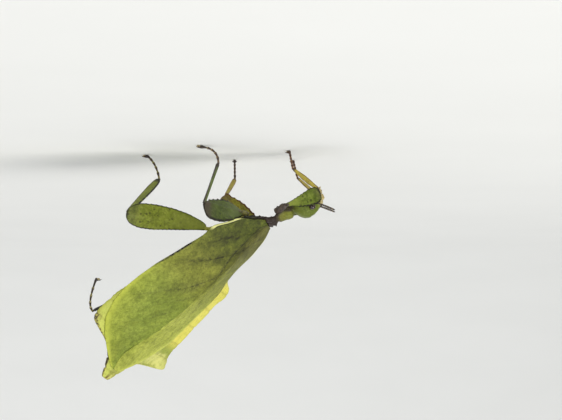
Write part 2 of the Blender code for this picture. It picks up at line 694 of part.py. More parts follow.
def legs():
    for name, leg in LEGS.items():
        kind = name.split("_")[0]
        root, start = body(*leg["coxa"]), body(*leg["trochanter"])
        knee, ankle, foot = (np.array(leg[key], float) for key in ("knee", "ankle", "foot"))
        up = leg["lobe_up"]
        coxa(name + "_coxa", root, start, kind)
        femur(name + "_femur", kind, root, start, knee, up)
        tibia(name + "_tibia", kind, knee, ankle, unit(knee - start) + np.array(up) * 0.2)
        ahead = foot - ankle
        tarsus(name + "_tarsus", kind, knee, ankle, foot, np.array([ahead[0], ahead[1], 0.0]))


def centre_over_floor():
    """Moves every node so that the middle of the whole is above the origin, with the soles on the floor."""
    things = [thing for thing in bpy.data.objects if thing.type == "MESH"]
    corners = []
    for thing in things:
        flat = np.empty(len(thing.data.vertices) * 3)
        thing.data.vertices.foreach_get("co", flat)
        corners.append(flat.reshape(-1, 3))
    everything = np.concatenate(corners)
    low, high = everything.min(axis=0), everything.max(axis=0)
    shift = np.array([(low[0] + high[0]) / 2, (low[1] + high[1]) / 2, low[2]])
    for thing, points in zip(things, corners):
        thing.data.vertices.foreach_set("co", (points - shift).reshape(-1))
        thing.data.update()


def main():
    for thing in list(bpy.data.objects):
        bpy.data.objects.remove(thing)
    head_and_feelers()
    pronotum()
    mesothorax()
    metathorax()
    abdomen()
    abdomen_tip()
    wings()
    legs()
    centre_over_floor()


main()
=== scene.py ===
"""The looks of the leaf insect: skin, veined wings, leaf-lobed legs, eyes, feelers and its studio.

Lengths in the shape functions are in millimetres, in the stance frame of the solids: +X to the head,
+Y to the insect's left, +Z up. On the body, sigma runs to the tail from where the wings begin, across
runs to the left, and rise runs out of the back. Every mesh is written in metres, in the frame of the
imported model.
"""

import math

import bmesh
import bpy
import numpy as np
from mathutils import Matrix, Vector, noise


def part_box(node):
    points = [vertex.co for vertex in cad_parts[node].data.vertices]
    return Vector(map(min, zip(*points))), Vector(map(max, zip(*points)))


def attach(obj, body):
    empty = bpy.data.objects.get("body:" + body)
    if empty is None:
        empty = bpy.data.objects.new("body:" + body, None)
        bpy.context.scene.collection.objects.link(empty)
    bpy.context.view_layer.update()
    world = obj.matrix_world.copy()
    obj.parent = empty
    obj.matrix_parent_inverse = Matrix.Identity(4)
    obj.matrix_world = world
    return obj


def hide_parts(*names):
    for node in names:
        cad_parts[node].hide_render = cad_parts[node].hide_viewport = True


bl_info = {
    "name": "Leaf insect",
    "version": (1, 0, 0),
    "blender": (4, 5, 0),
    "location": "View3D > Sidebar > Leaf insect",
    "description": "Builds the skin, wings, legs and studio of a life-size leaf insect",
    "category": "Add Mesh",
}

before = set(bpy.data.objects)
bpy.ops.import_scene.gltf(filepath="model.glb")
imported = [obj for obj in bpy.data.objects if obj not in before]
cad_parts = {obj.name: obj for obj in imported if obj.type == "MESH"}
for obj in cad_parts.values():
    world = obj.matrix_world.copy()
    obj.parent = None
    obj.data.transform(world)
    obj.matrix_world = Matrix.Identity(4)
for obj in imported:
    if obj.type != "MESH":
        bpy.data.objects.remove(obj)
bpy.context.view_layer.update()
MM = 0.001

# The body's own coordinates, as the solids have them.
WING_ROOT = np.array([14.0, 1.3, 16.5])
ABDOMEN_TAIL = np.array([-0.713, -0.107, 0.696])
ABDOMEN_LEFT = np.array([-0.463, 0.815, -0.348])
THORAX_TAIL = np.array([-0.955, -0.06, 0.265])
BEND_START = 2.0
BEND_LENGTH = 5.0
LEFT_SLOPE = 0.26
# The right side falls away most steeply at the waist, a quarter of the way along: (sigma, slope).
RIGHT_SLOPES = [
    (0.0, 0.37), (2.0, 0.4), (4.0, 0.45), (7.0, 0.47), (10.0, 0.54), (12.0, 0.575), (14.0, 0.565),
    (16.0, 0.54),
    (18.0, 0.46), (20.0, 0.437), (24.0, 0.42), (28.0, 0.4), (32.0, 0.344), (35.0, 0.3), (49.3, 0.3),
]
RIDGE_ROUND = 1.5
ARCH = [
    (0.0, 0.0), (6.0, 0.6), (14.0, 1.4), (20.0, 1.3), (26.0, 0.9), (33.0, 0.2), (40.0, -0.5), (45.0, -0.4),
    (49.3, 0.0),
]
HEAD_TWIST = math.radians(24.0)
TWIST_PLACES = (-9.0, -5.5)
EYE_PLACE = (-11.7, 2.2, -0.45)
EYE_RADIUS = 0.78
STEP = 0.05

# Sections of the head and first plate: (sigma, half width, top, bottom).
HEAD_SECTIONS = [
    (-13.95, 0.03, -2.0, -2.1), (-13.85, 0.55, -1.4, -2.7), (-13.6, 1.0, -1.0, -3.1),
    (-13.2, 1.5, -0.45, -3.65),
    (-12.6, 2.0, 0.25, -4.1), (-11.6, 2.4, 0.85, -4.3), (-10.4, 2.55, 1.25, -4.2), (-9.4, 2.45, 1.1, -4.0),
    (-8.6, 2.2, 0.6, -3.7), (-7.95, 1.9, -0.05, -3.3), (-7.5, 1.5, -0.75, -2.85), (-7.2, 1.75, -0.5, -3.0),
    (-6.8, 2.1, -0.15, -2.8), (-6.0, 2.2, -0.15, -3.2), (-5.3, 2.1, -0.3, -3.45), (-4.8, 2.0, -0.2, -3.3),
    (-4.4, 1.85, -0.15, -2.8), (-3.95, 1.6, -0.1, -2.1), (-3.55, 1.3, -0.15, -1.5), (-3.3, 1.2, -0.1, -1.3),
    (-3.0, 1.2, 0.0, -1.2),
]
# The skin's margins from the second plate to the tail: (sigma, distance from the midline).
LEFT_MARGIN = [
    (-3.5, 1.2), (-2.0, 1.3), (-1.0, 1.75), (0.0, 2.9), (1.0, 4.3), (2.0, 5.4), (2.8, 5.9), (3.1, 5.7),
    (9.2, 7.0),
    (9.8, 7.5), (11.0, 8.4), (13.0, 9.4), (16.0, 10.4), (19.0, 11.5), (22.0, 12.6), (25.5, 13.6),
    (29.0, 14.4), (32.0, 14.9), (36.0, 14.8), (38.8, 14.5), (40.1, 13.6), (40.9, 11.4), (42.0, 7.8),
    (42.9, 5.8),
    (44.6, 3.7), (46.4, 2.5), (48.2, 1.5), (49.1, 0.9), (49.3, 0.1),
]
RIGHT_MARGIN = [
    (-3.5, 1.3), (-2.0, 1.6), (-1.0, 2.2), (0.1, 3.8), (1.6, 5.6), (2.8, 5.9), (3.1, 5.7), (9.2, 7.0),
    (9.8, 7.3), (11.0, 8.0), (13.0, 8.6), (14.6, 9.2), (15.7, 10.6), (16.5, 13.8), (17.3, 15.0), (18.2, 15.3),
    (19.8, 14.7), (20.6, 14.2), (22.0, 14.7), (26.0, 15.3), (32.0, 15.3), (35.8, 15.1), (37.5, 16.2),
    (39.5, 18.2),
    (40.9, 19.2), (41.6, 18.0), (42.1, 12.4), (42.5, 8.0), (42.9, 6.6), (44.6, 4.4), (46.4, 2.9), (48.2, 1.6),
    (49.1, 0.9), (49.3, 0.1),
]
# How far the back lies under the ridge line, how thick the margins are, and the belly's depth, half width
# and squareness.
BACK_DROP = [(-3.5, 0.2), (-3.2, -0.05), (-2.6, -0.2), (-1.5, 0.0), (-0.9, 0.4), (49.3, 0.6)]
MARGIN_THICK = [(-3.5, 0.5), (2.8, 0.5), (9.4, 0.6), (12.0, 0.42), (40.0, 0.4), (49.3, 0.4)]
BELLY_DEPTH = [
    (-3.5, 0.6), (-2.2, 0.7), (-1.0, 1.1), (0.0, 1.8), (1.2, 2.8), (2.8, 3.4), (3.5, 3.6), (9.4, 4.6),
    (12.0, 5.9), (28.0, 5.7),
    (36.0, 4.3), (42.9, 3.0), (46.0, 2.0), (49.3, 0.6),
]
BELLY_HALF = [
    (-3.5, 1.0), (-1.0, 1.2), (0.0, 1.7), (2.8, 2.7), (6.5, 3.9), (9.4, 4.0), (12.0, 4.6), (36.0, 4.5),
    (42.9, 3.2), (46.4, 1.6), (49.3, 0.5),
]
BELLY_SQUARE = [(-3.5, 3.5), (8.0, 3.5), (13.0, 2.0), (49.3, 2.0)]
# The abdomen's left margin rises close under the wing.
LEFT_LIFT = [(8.0, 0.0), (12.0, 0.06), (20.0, 0.13), (25.5, 0.26), (29.0, 0.38), (40.0, 0.44), (42.0, 0.0)]
SEGMENT_ENDS = [13.6, 18.1, 23.4, 28.8, 34.2, 38.6]
PLATE_SEAMS = [2.95, 9.6, 43.05, 45.0, 47.1]
LOBE_CURL = 1.2
LOBE_PLACES = [
    (14.0, 0.0), (16.5, 0.75), (18.0, 0.75), (20.0, 0.67), (22.0, 0.35), (24.0, 0.5), (28.0, 0.55),
    (32.0, 0.5),
    (36.0, 0.4), (38.0, 0.35), (40.0, 0.7), (41.2, 1.0), (42.6, 0.3),
]
HEAD_ENDS = -3.3
TAIL_TIP = 49.3
# The sigma mark on the meshes runs from 0 to 1 over this stretch of the body.
MARK_START = -14.0
MARK_SPAN = 64.0

# Wings: the costal edge as (sigma, distance from the midline), and where the side veins leave the midrib.
WING_FRONT = -1.0
WING_BACK = 46.2
WING_SWEEP = 0.28
LEFT_WING_EDGE = [
    (-1.0, 1.6), (0.0, 2.7), (0.7, 3.4), (1.2, 4.5), (2.0, 6.2), (3.0, 7.1), (4.0, 7.75), (5.0, 8.5),
    (6.0, 9.4),
    (7.0, 10.2), (8.0, 10.4), (10.0, 10.6), (12.0, 11.3), (14.0, 12.1), (16.5, 12.8),
    (21.6, 14.2), (26.0, 14.8), (30.0, 14.9), (34.0, 14.1), (38.0, 12.2), (41.0, 9.2), (43.5, 5.8),
    (45.4, 2.8), (46.2, 0.9),
]
RIGHT_WING_EDGE = [
    (-1.0, 2.6), (0.2, 4.7), (1.7, 6.2), (4.0, 7.6), (7.3, 8.6), (12.8, 9.2), (16.5, 9.5),
    (21.6, 10.1), (26.0, 10.5), (30.0, 10.7), (34.0, 10.4), (38.0, 9.4), (41.0, 7.7), (43.5, 5.2),
    (45.4, 2.7), (46.2, 0.9),
]
# The left wing laps over the midline, and leaves it towards the tip. The right wing's inner edge follows
# under it: (sigma, distance from the midline on the wing's own side).
LEFT_INNER_EDGE = [
    (-1.0, -0.35), (18.0, -0.6), (26.0, -0.6), (33.0, -0.2), (37.0, 0.7), (42.0, 1.7), (45.0, 1.3),
    (46.2, 0.5),
]
RIGHT_INNER_EDGE = [
    (-1.0, 0.1), (26.0, 0.1), (33.0, -0.4), (37.0, -1.3), (42.0, -2.3), (45.0, -1.9), (46.2, -0.7),
]
# Main veins: where each leaves the midrib, how far it sweeps back at once, how far it goes on drifting,
# and then how dark its mark is at a quarter, a half and three quarters of the way out.
VEINS = [
    (0.035, 0.05, 0.08, 0.55, 1.0, 0.35), (0.165, 0.06, 0.05, 1.0, 0.8, 0.35),
    (0.308, 0.10, 0.05, 1.0, 0.75, 0.5),
    (0.435, 0.06, 0.05, 0.35, 0.3, 0.2), (0.545, 0.03, 0.05, 0.7, 0.6, 0.2),
    (0.63, 0.04, 0.06, 0.3, 0.25, 0.15),
    (0.715, 0.05, 0.06, 0.65, 0.35, 0.15), (0.83, 0.04, 0.05, 0.3, 0.2, 0.1),
]
# Darker blots on the veins: place along the wing, share of the way out, and strength.
BLOTS = [
    (0.095, 0.28, 1.0), (0.115, 0.34, 1.0), (0.15, 0.45, 0.8), (0.16, 0.57, 0.6), (0.245, 0.3, 0.8),
    (0.245, 0.57, 0.9), (0.39, 0.12, 0.7), (0.42, 0.2, 0.7), (0.6, 0.44, 0.5), (0.775, 0.37, 0.5),
]
MIDRIB = [
    (0.0, 0.09), (0.07, 0.105), (0.16, 0.125), (0.23, 0.115), (0.30, 0.06), (0.36, 0.03), (0.5, 0.03),
    (1.0, 0.03),
]

# Legs: joints in the stance frame, except the coxa and trochanter, which are in body coordinates.
LEGS = {
    "fore_left": {
        "coxa": (-4.3, 1.9, -1.4), "trochanter": (-6.3, 3.0, -1.4),
        "knee": (26.1, 10.6, 9.1), "ankle": (20.6, 6.2, 4.2), "foot": (19.9, 4.6, 0.0),
        "lobe_up": (0.2, -0.5, 1.0),
    },
    "fore_right": {
        "coxa": (-4.6, -1.7, -2.1), "trochanter": (-5.6, -3.3, -2.7),
        "knee": (26.3, -9.4, 8.9), "ankle": (21.8, -15.3, 4.4), "foot": (20.9, -18.2, 0.0),
        "lobe_up": (0.2, 0.5, 1.0),
    },
    "mid_left": {
        "coxa": (1.2, 3.1, -3.4), "trochanter": (1.6, 4.3, -3.9),
        "knee": (1.4, 12.8, 12.2), "ankle": (4.5, 14.6, 3.7), "foot": (1.2, 15.8, 0.0),
        "lobe_up": (0.3, 0.55, 1.0),
    },
    "mid_right": {
        "coxa": (1.2, -3.2, -3.5), "trochanter": (1.5, -4.4, -4.1),
        "knee": (5.6, -7.0, 9.0), "ankle": (7.4, -15.0, 4.8), "foot": (7.3, -16.9, 0.0),
        "lobe_up": (0.3, -0.5, 1.0),
    },
    "hind_left": {
        "coxa": (8.8, 4.1, -5.3), "trochanter": (9.0, 5.7, -6.5),
        "knee": (-15.7, 6.6, 13.9), "ankle": (-9.3, -3.2, 5.7), "foot": (-12.0, -5.2, 0.0),
        "lobe_up": (0.0, 0.1, 1.0),
    },
    "hind_right": {
        "coxa": (8.2, -3.4, -5.6), "trochanter": (9.8, -4.7, -6.9),
        "knee": (-10.6, -9.6, 28.0), "ankle": (-24.2, -5.6, 35.2), "foot": (-23.4, -4.6, 28.1),
        "lobe_up": (-0.4, 0.5, 0.8),
    },
}
# Thigh lobes: (place along the thigh, width above its axis, width below it).
FEMUR_LOBES = {
    "fore": [
        (0.0, 0.4, 0.4), (0.14, 0.8, 0.4), (0.3, 1.6, 0.5), (0.55, 2.4, 0.75), (0.8, 2.7, 1.0),
        (0.93, 2.3, 0.8), (1.0, 1.1, 0.4),
    ],
    "mid": [
        (0.0, 0.4, 0.6), (0.1, 1.2, 1.5), (0.28, 2.3, 2.3), (0.42, 3.2, 2.4), (0.58, 3.9, 2.1),
        (0.76, 4.1, 1.5),
        (0.9, 3.9, 0.7), (0.97, 2.9, 0.4), (1.0, 1.4, 0.4),
    ],
    "hind": [
        (0.0, 0.4, 0.9), (0.08, 0.6, 1.6), (0.25, 1.2, 2.5), (0.45, 1.9, 3.0), (0.65, 2.6, 3.1),
        (0.82, 2.8, 2.8), (0.94, 2.3, 1.9), (1.0, 1.2, 0.8),
    ],
}
STRUT_HALF = {"fore": 0.5, "mid": 0.55, "hind": 0.62}
# Shins: (place, half width, half thickness).
TIBIA_SECTIONS = {
    "fore": [
        (0.0, 0.3, 0.3), (0.04, 0.4, 0.34), (0.15, 0.42, 0.28), (0.35, 0.56, 0.2), (0.6, 0.58, 0.18),
        (0.82, 0.42, 0.24), (0.95, 0.36, 0.28), (1.0, 0.3, 0.26),
    ],
    "mid": [
        (0.0, 0.3, 0.3), (0.04, 0.42, 0.36), (0.15, 0.42, 0.3), (0.5, 0.5, 0.26), (0.8, 0.54, 0.28),
        (0.95, 0.5, 0.36), (1.0, 0.4, 0.32),
    ],
    "hind": [
        (0.0, 0.3, 0.3), (0.04, 0.45, 0.38), (0.15, 0.58, 0.3), (0.45, 0.8, 0.24), (0.75, 0.88, 0.24),
        (0.91, 0.76, 0.32), (1.0, 0.46, 0.36),
    ],
}
TARSUS_HALF = 0.29
# Where a foot's curve is pulled to between ankle and toe, in stance millimetres.
FOOT_BENDS = {"mid_left": (4.4, 15.2, 0.7), "hind_left": (-9.9, -4.0, 2.2), "hind_right": (-25.6, -5.1, 33.8)}
FOOT_JOINTS = [0.0, 0.24, 0.46, 0.66, 0.84, 1.0]

ANTENNA_LENGTH = 5.2
PALP_LENGTH = 1.7

# The camera stands 450 mm away and 4 degrees above level, as assumed for the photograph, whose lens and
# distance are not known.
CAMERA_DISTANCE = 450.0
CAMERA_RISE = math.radians(4.0)
CAMERA_TARGET = np.array([18.0, 0.0, 12.889])
FOCAL_PIXELS = 2025.0
PICTURE_WIDE = 562.0


def linear(red, green, blue):
    """A colour given in the 0 to 255 steps of a picture, as Blender's own linear values."""
    made = []
    for step in (red, green, blue):
        share = step / 255.0
        made.append(share / 12.92 if share <= 0.04045 else ((share + 0.055) / 1.055) ** 2.4)
    return tuple(made)


def unit(vector):
    vector = np.asarray(vector, float)
    return vector / np.linalg.norm(vector)


def turned(vector, axis, angle):
    """A vector turned about a unit axis by one angle or by many."""
    angle = np.asarray(angle, float)[..., None]
    around = np.cross(axis, vector)
    return vector * np.cos(angle) + around * np.sin(angle) + axis * np.dot(axis, vector) * (1 - np.cos(angle))


TAIL = unit(ABDOMEN_TAIL)
LEFT = unit(ABDOMEN_LEFT - TAIL * np.dot(TAIL, ABDOMEN_LEFT))
BACK = np.cross(LEFT, TAIL)
BACK = BACK if BACK[2] > 0 else -BACK
BEND_AXIS = unit(np.cross(TAIL, unit(THORAX_TAIL)))
BEND_ANGLE = math.acos(np.dot(TAIL, unit(THORAX_TAIL)))


def bend_at(sigma):
    return BEND_ANGLE * np.clip((BEND_START - np.asarray(sigma, float)) / BEND_LENGTH, 0.0, 1.0)


def spine_table():
    """Points of the ridge line forward of the bend's start, each STEP apart."""
    count = int((BEND_START + 20) / STEP)
    middles = BEND_START - (np.arange(count) + 0.5) * STEP
    steps = turned(TAIL, BEND_AXIS, bend_at(middles)) * STEP
    start = WING_ROOT + TAIL * BEND_START
    return np.concatenate([start[None], start - np.cumsum(steps, axis=0)])


SPINE = spine_table()


def at(table, x, column=1):
    """A table's value at x, on straight lines between its places."""
    return np.interp(x, [row[0] for row in table], [row[column] for row in table])


def body_mark(sigma):
    """A place along the body as the sigma mark that the finishes read."""
    return (sigma - MARK_START) / MARK_SPAN


def eased(table, x, spread, column=1):
    """A table's value with its corners rounded over a short stretch."""
    total = 0.0
    for shift in np.linspace(-spread, spread, 9):
        total = total + at(table, np.asarray(x, float) + shift, column)
    return total / 9.0


def arch_at(sigma):
    total = 0.0
    for shift in (-3.0, -1.5, 0.0, 1.5, 3.0):
        total = total + at(ARCH, np.asarray(sigma, float) + shift)
    return total / 5 * np.clip(np.asarray(sigma, float) / 3.0, 0.0, 1.0)


def body(sigma, across, rise):
    """Points of the body in the stance frame."""
    sigma, across, rise = np.broadcast_arrays(*(np.asarray(x, float) for x in (sigma, across, rise)))
    angle = bend_at(sigma)
    left = turned(LEFT, BEND_AXIS, angle)
    back = turned(BACK, BEND_AXIS, angle)
    twist = HEAD_TWIST * np.interp(sigma, TWIST_PLACES, (1.0, 0.0))[..., None]
    left, back = left * np.cos(twist) + back * np.sin(twist), back * np.cos(twist) - left * np.sin(twist)
    place = (BEND_START - sigma) / STEP
    steps = np.arange(len(SPINE))
    ahead = np.stack([np.interp(place, steps, SPINE[:, k]) for k in range(3)], axis=-1)
    behind = WING_ROOT + TAIL * sigma[..., None]
    centre = np.where(sigma[..., None] >= BEND_START, behind, ahead)
    return centre + left * across[..., None] + back * (rise + arch_at(sigma))[..., None]


def roof(across, sigma):
    """The low roof shape of the back, rounded at its ridge."""
    across = np.asarray(across, float)
    slope = np.where(across > 0, LEFT_SLOPE, eased(RIGHT_SLOPES, sigma, 1.0))
    return -slope * (np.hypot(across, RIDGE_ROUND) - RIDGE_ROUND)


def frame_shift():
    """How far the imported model's frame lies from the stance frame, read off the left eye."""
    low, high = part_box("eye_left")
    return body(*EYE_PLACE) - np.array((low + high) / 2) / MM


SHIFT = frame_shift()


def to_row(points):
    """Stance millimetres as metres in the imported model's frame."""
    return (np.asarray(points, float) - SHIFT) * MM


def smoothstep(low, high, x):
    share = np.clip((np.asarray(x, float) - low) / (high - low), 0.0, 1.0)
    return share * share * (3 - 2 * share)


def ripple(points, size, seed=0.0):
    """Soft random waves from -1 to 1 over points in millimetres."""
    offset = Vector((seed * 17.3, seed * 5.1, seed * 29.7))
    return np.array([noise.noise(Vector(point) / size + offset) for point in points])


def grains(points, size, seed=0.0):
    """Rounded bumps from 0 to 1, one to each cell of the given size in millimetres."""
    offset = Vector((seed * 11.9, seed * 7.7, seed * 3.1))
    made = []
    for point in points:
        near = noise.voronoi(Vector(point) / size + offset)[0]
        made.append(max(0.0, 1.0 - near[0] / 0.62) ** 0.6)
    return np.array(made)


# Meshes


def coordinates(mesh):
    flat = np.empty(len(mesh.vertices) * 3)
    mesh.vertices.foreach_get("co", flat)
    return flat.reshape(-1, 3)


def write_marks(mesh, marks):
    """Stores each named row of numbers on the mesh's vertices, for its material to read."""
    for name, values in marks.items():
        layer = mesh.attributes.new(name, "FLOAT", "POINT")
        layer.data.foreach_set("value", np.asarray(values, np.float32))


def close_up(mesh, within=2e-6):
    """Merges points that lie together and turns every face outwards."""
    made = bmesh.new()
    made.from_mesh(mesh)
    bmesh.ops.remove_doubles(made, verts=made.verts[:], dist=within)
    bmesh.ops.dissolve_degenerate(made, edges=made.edges[:], dist=1e-7)
    bmesh.ops.recalc_face_normals(made, faces=made.faces[:])
    made.to_mesh(mesh)
    made.free()
    mesh.shade_smooth()


def leaf_mesh(name, columns, rows, shape):
    """A thin closed leaf: a grid, doubled, bridged round its rim and laid out by shape(u, v, face)."""
    made = bmesh.new()
    bmesh.ops.create_grid(made, x_segments=columns, y_segments=rows, size=0.5)
    everything = made.verts[:] + made.edges[:] + made.faces[:]
    below = bmesh.ops.duplicate(made, geom=everything)["geom"]
    bmesh.ops.translate(made, verts=[e for e in below if isinstance(e, bmesh.types.BMVert)], vec=(0, 0, -1))
    bmesh.ops.reverse_faces(made, faces=[e for e in below if isinstance(e, bmesh.types.BMFace)])
    bmesh.ops.bridge_loops(made, edges=[edge for edge in made.edges if edge.is_boundary])
    mesh = bpy.data.meshes.new(name)
    made.to_mesh(mesh)
    made.free()
    flat = coordinates(mesh)
    face = np.where(flat[:, 2] < -0.5, -1.0, 1.0)
    points, marks = shape(flat[:, 0] + 0.5, flat[:, 1] + 0.5, face)
    mesh.vertices.foreach_set("co", to_row(points).ravel())
    write_marks(mesh, marks)
    close_up(mesh)
    return mesh


def wrapped_mesh(name, around, rows, shape):
    """A skin: a grid rolled round the body by shape(u, v) and sewn along its seam; its two ends stay small
    open rings.
    """
    made = bmesh.new()
    bmesh.ops.create_grid(made, x_segments=around, y_segments=rows, size=0.5)
    mesh = bpy.data.meshes.new(name)
    made.to_mesh(mesh)
    made.free()
    flat = coordinates(mesh)
    points, marks = shape(flat[:, 0] + 0.5, flat[:, 1] + 0.5)
    mesh.vertices.foreach_set("co", to_row(points).ravel())
    write_marks(mesh, marks)
    close_up(mesh)
    return mesh


def frame_of(first, second, third, place):
    """The matrix whose columns are three directions and a place."""
    rows = [[first[k], second[k], third[k], place[k]] for k in range(3)]
    return Matrix(rows + [[0, 0, 0, 1]])


def placed(centre, direction, up, high, wide):
    """The matrix that lays a unit circle square to a direction, high along up and wide across it."""
    direction = unit(direction)
    first = unit(np.asarray(up, float) - direction * np.dot(direction, up))
    second = np.cross(direction, first)
    return frame_of(first * high, second * wide, direction * max(high, wide), centre)


def grow(made, stations, around=12, mark=None, marks=None):
    """A rod through (centre, direction, up, high, wide): a circle, extruded from station to station."""
    layer = made.verts.layers.float.get("along") or made.verts.layers.float.new("along")
    kind = made.verts.layers.float.get("kind") or made.verts.layers.float.new("kind")
    shares = marks if marks is not None else np.linspace(0.0, 1.0, len(stations))
    now = placed(*stations[0])
    ring = bmesh.ops.create_circle(made, segments=around, radius=1.0, matrix=now)["verts"]
    edges = list({edge for vert in ring for edge in vert.link_edges})
    for vert in ring:
        vert[layer] = shares[0]
        vert[kind] = mark or 0.0
    for station, share in zip(stations[1:], shares[1:]):
        after = placed(*station)
        made_now = bmesh.ops.extrude_edge_only(made, edges=edges)["geom"]
        ring = [one for one in made_now if isinstance(one, bmesh.types.BMVert)]
        edges = [one for one in made_now if isinstance(one, bmesh.types.BMEdge)]
        bmesh.ops.transform(made, matrix=after @ now.inverted(), verts=ring)
        for vert in ring:
            vert[layer] = share
            vert[kind] = mark or 0.0
        now = after


def ball(made, centre, direction, up, long, high, wide, mark=0.0, along=0.0, segments=14):
    """A rounded pad or knob, as long as 2 long along its direction."""
    layer = made.verts.layers.float.get("along") or made.verts.layers.float.new("along")
    kind = made.verts.layers.float.get("kind") or made.verts.layers.float.new("kind")
    matrix = placed(centre, direction, up, high, wide)
    matrix = matrix @ Matrix.Diagonal((1, 1, long / max(high, wide), 1))
    ring = bmesh.ops.create_uvsphere(
        made, u_segments=segments, v_segments=segments // 2 + 2, radius=1.0, matrix=matrix,
    )["verts"]
    for vert in ring:
        vert[layer] = along
        vert[kind] = mark


def finish_rod(made, name, edit=None):
    """Closes the rods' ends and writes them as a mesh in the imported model's frame."""
    bmesh.ops.holes_fill(made, edges=[edge for edge in made.edges if edge.is_boundary], sides=0)
    if edit is not None:
        edit(made)
    bmesh.ops.recalc_face_normals(made, faces=made.faces[:])
    bmesh.ops.translate(made, verts=made.verts[:], vec=Vector(-SHIFT))
    bmesh.ops.scale(made, verts=made.verts[:], vec=(MM, MM, MM))
    mesh = bpy.data.meshes.new(name)
    made.to_mesh(mesh)
    made.free()
    mesh.shade_smooth()
    return mesh


def add_piece(name, mesh, finishes, nodes):
    """Puts a finished mesh into the scene in place of its CAD nodes."""
    if not len(mesh.polygons):
        raise RuntimeError(f"{name} came out with no faces")
    thing = bpy.data.objects.new(name, mesh)
    bpy.context.scene.collection.objects.link(thing)
    for finish in finishes:
        mesh.materials.append(finish)
    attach(thing, "root")
    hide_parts(*nodes)
    return thing


# Materials


class Finish:
    """One procedural material, wired from short calls."""

    def __init__(self, name, roughness=0.5, gloss=0.5):
        self.material = bpy.data.materials.new(name)
        self.material.use_nodes = True
        self.tree = self.material.node_tree
        self.shader = self.tree.nodes["Principled BSDF"]
        self.shader.inputs["Roughness"].default_value = roughness
        self.shader.inputs["Specular IOR Level"].default_value = gloss
        self.place = self.add("ShaderNodeTexCoord").outputs["Object"]

    def add(self, kind, settings=None, **sockets):
        node = self.tree.nodes.new(kind)
        for key, value in (settings or {}).items():
            setattr(node, key, value)
        for key, value in sockets.items():
            self.feed(node.inputs[key.replace("_", " ")], value)
        return node

    def feed(self, socket, value):
        if isinstance(value, bpy.types.NodeSocket):
            self.tree.links.new(value, socket)
        else:
            socket.default_value = value

    def mark(self, name):
        return self.add("ShaderNodeAttribute", {"attribute_name": name}).outputs["Fac"]

    def noise(self, millimetres, detail=3.0, roughness=0.55, stretch=None):
        place = self.place
        if stretch is not None:
            place = self.add("ShaderNodeMapping", Vector=place, Scale=stretch).outputs["Vector"]
        node = self.add(
            "ShaderNodeTexNoise", Vector=place, Scale=1000.0 / millimetres, Detail=detail,
            Roughness=roughness,
        )
        return node.outputs["Fac"]

    def cells(self, millimetres, feature="DISTANCE_TO_EDGE", wobble=0.0):
        place = self.place
        if wobble:
            bent = self.add(
                "ShaderNodeTexNoise", Vector=place, Scale=1000.0 / (millimetres * 1.5), Detail=2.0,
            )
            moved = self.add(
                "ShaderNodeVectorMath", {"operation": "SCALE"}, Vector=bent.outputs["Color"],
                Scale=wobble * MM,
            )
            place = self.add("ShaderNodeVectorMath", {"operation": "ADD"}).outputs["Vector"]
            node = place.node
            self.feed(node.inputs[0], self.place)
            self.feed(node.inputs[1], moved.outputs["Vector"])
        node = self.add(
            "ShaderNodeTexVoronoi", {"feature": feature}, Vector=place, Scale=1000.0 / millimetres,
        )
        return node.outputs["Distance"]

    def ramp(self, value, low, high, start=0.0, end=1.0):
        node = self.add("ShaderNodeMapRange", {"interpolation_type": "SMOOTHSTEP"})
        for socket, amount in zip(node.inputs, (value, low, high, start, end)):
            self.feed(socket, amount)
        return node.outputs["Result"]

    def sum(self, operation, first, second=None):
        node = self.add("ShaderNodeMath", {"operation": operation, "use_clamp": False})
        self.feed(node.inputs[0], first)
        if second is not None:
            self.feed(node.inputs[1], second)
        return node.outputs["Value"]

    def times(self, first, second):
        return self.sum("MULTIPLY", first, second)

    def mix(self, factor, first, second, way="MIX"):
        node = self.add("ShaderNodeMix", {"data_type": "RGBA", "blend_type": way})
        self.feed(node.inputs[0], factor)
        for socket, colour in ((node.inputs[6], first), (node.inputs[7], second)):
            if isinstance(colour, bpy.types.NodeSocket):
                self.feed(socket, colour)
            else:
                socket.default_value = (*tuple(colour)[:3], 1.0)
        return node.outputs[2]

    def stops(self, value, places):
        """A run of colours along a value from 0 to 1."""
        node = self.add("ShaderNodeValToRGB", Fac=value)
        ramp = node.color_ramp
        ramp.interpolation = "EASE"
        while len(ramp.elements) > 1:
            ramp.elements.remove(ramp.elements[-1])
        first = True
        for place, colour in places:
            stop = ramp.elements[0] if first else ramp.elements.new(place)
            stop.position = place
            stop.color = (*tuple(colour)[:3], 1.0)
            first = False
        return node.outputs["Color"]

    def colour(self, value):
        self.feed(self.shader.inputs["Base Color"], value)

    def bump(self, height, millimetres, strength=1.0):
        """Raises the surface by height, on top of what is there already."""
        node = self.add("ShaderNodeBump", Height=height, Distance=millimetres * MM, Strength=strength)
        before = self.shader.inputs["Normal"].links
        if before:
            self.feed(node.inputs["Normal"], before[0].from_socket)
        self.feed(self.shader.inputs["Normal"], node.outputs["Normal"])


# Settings


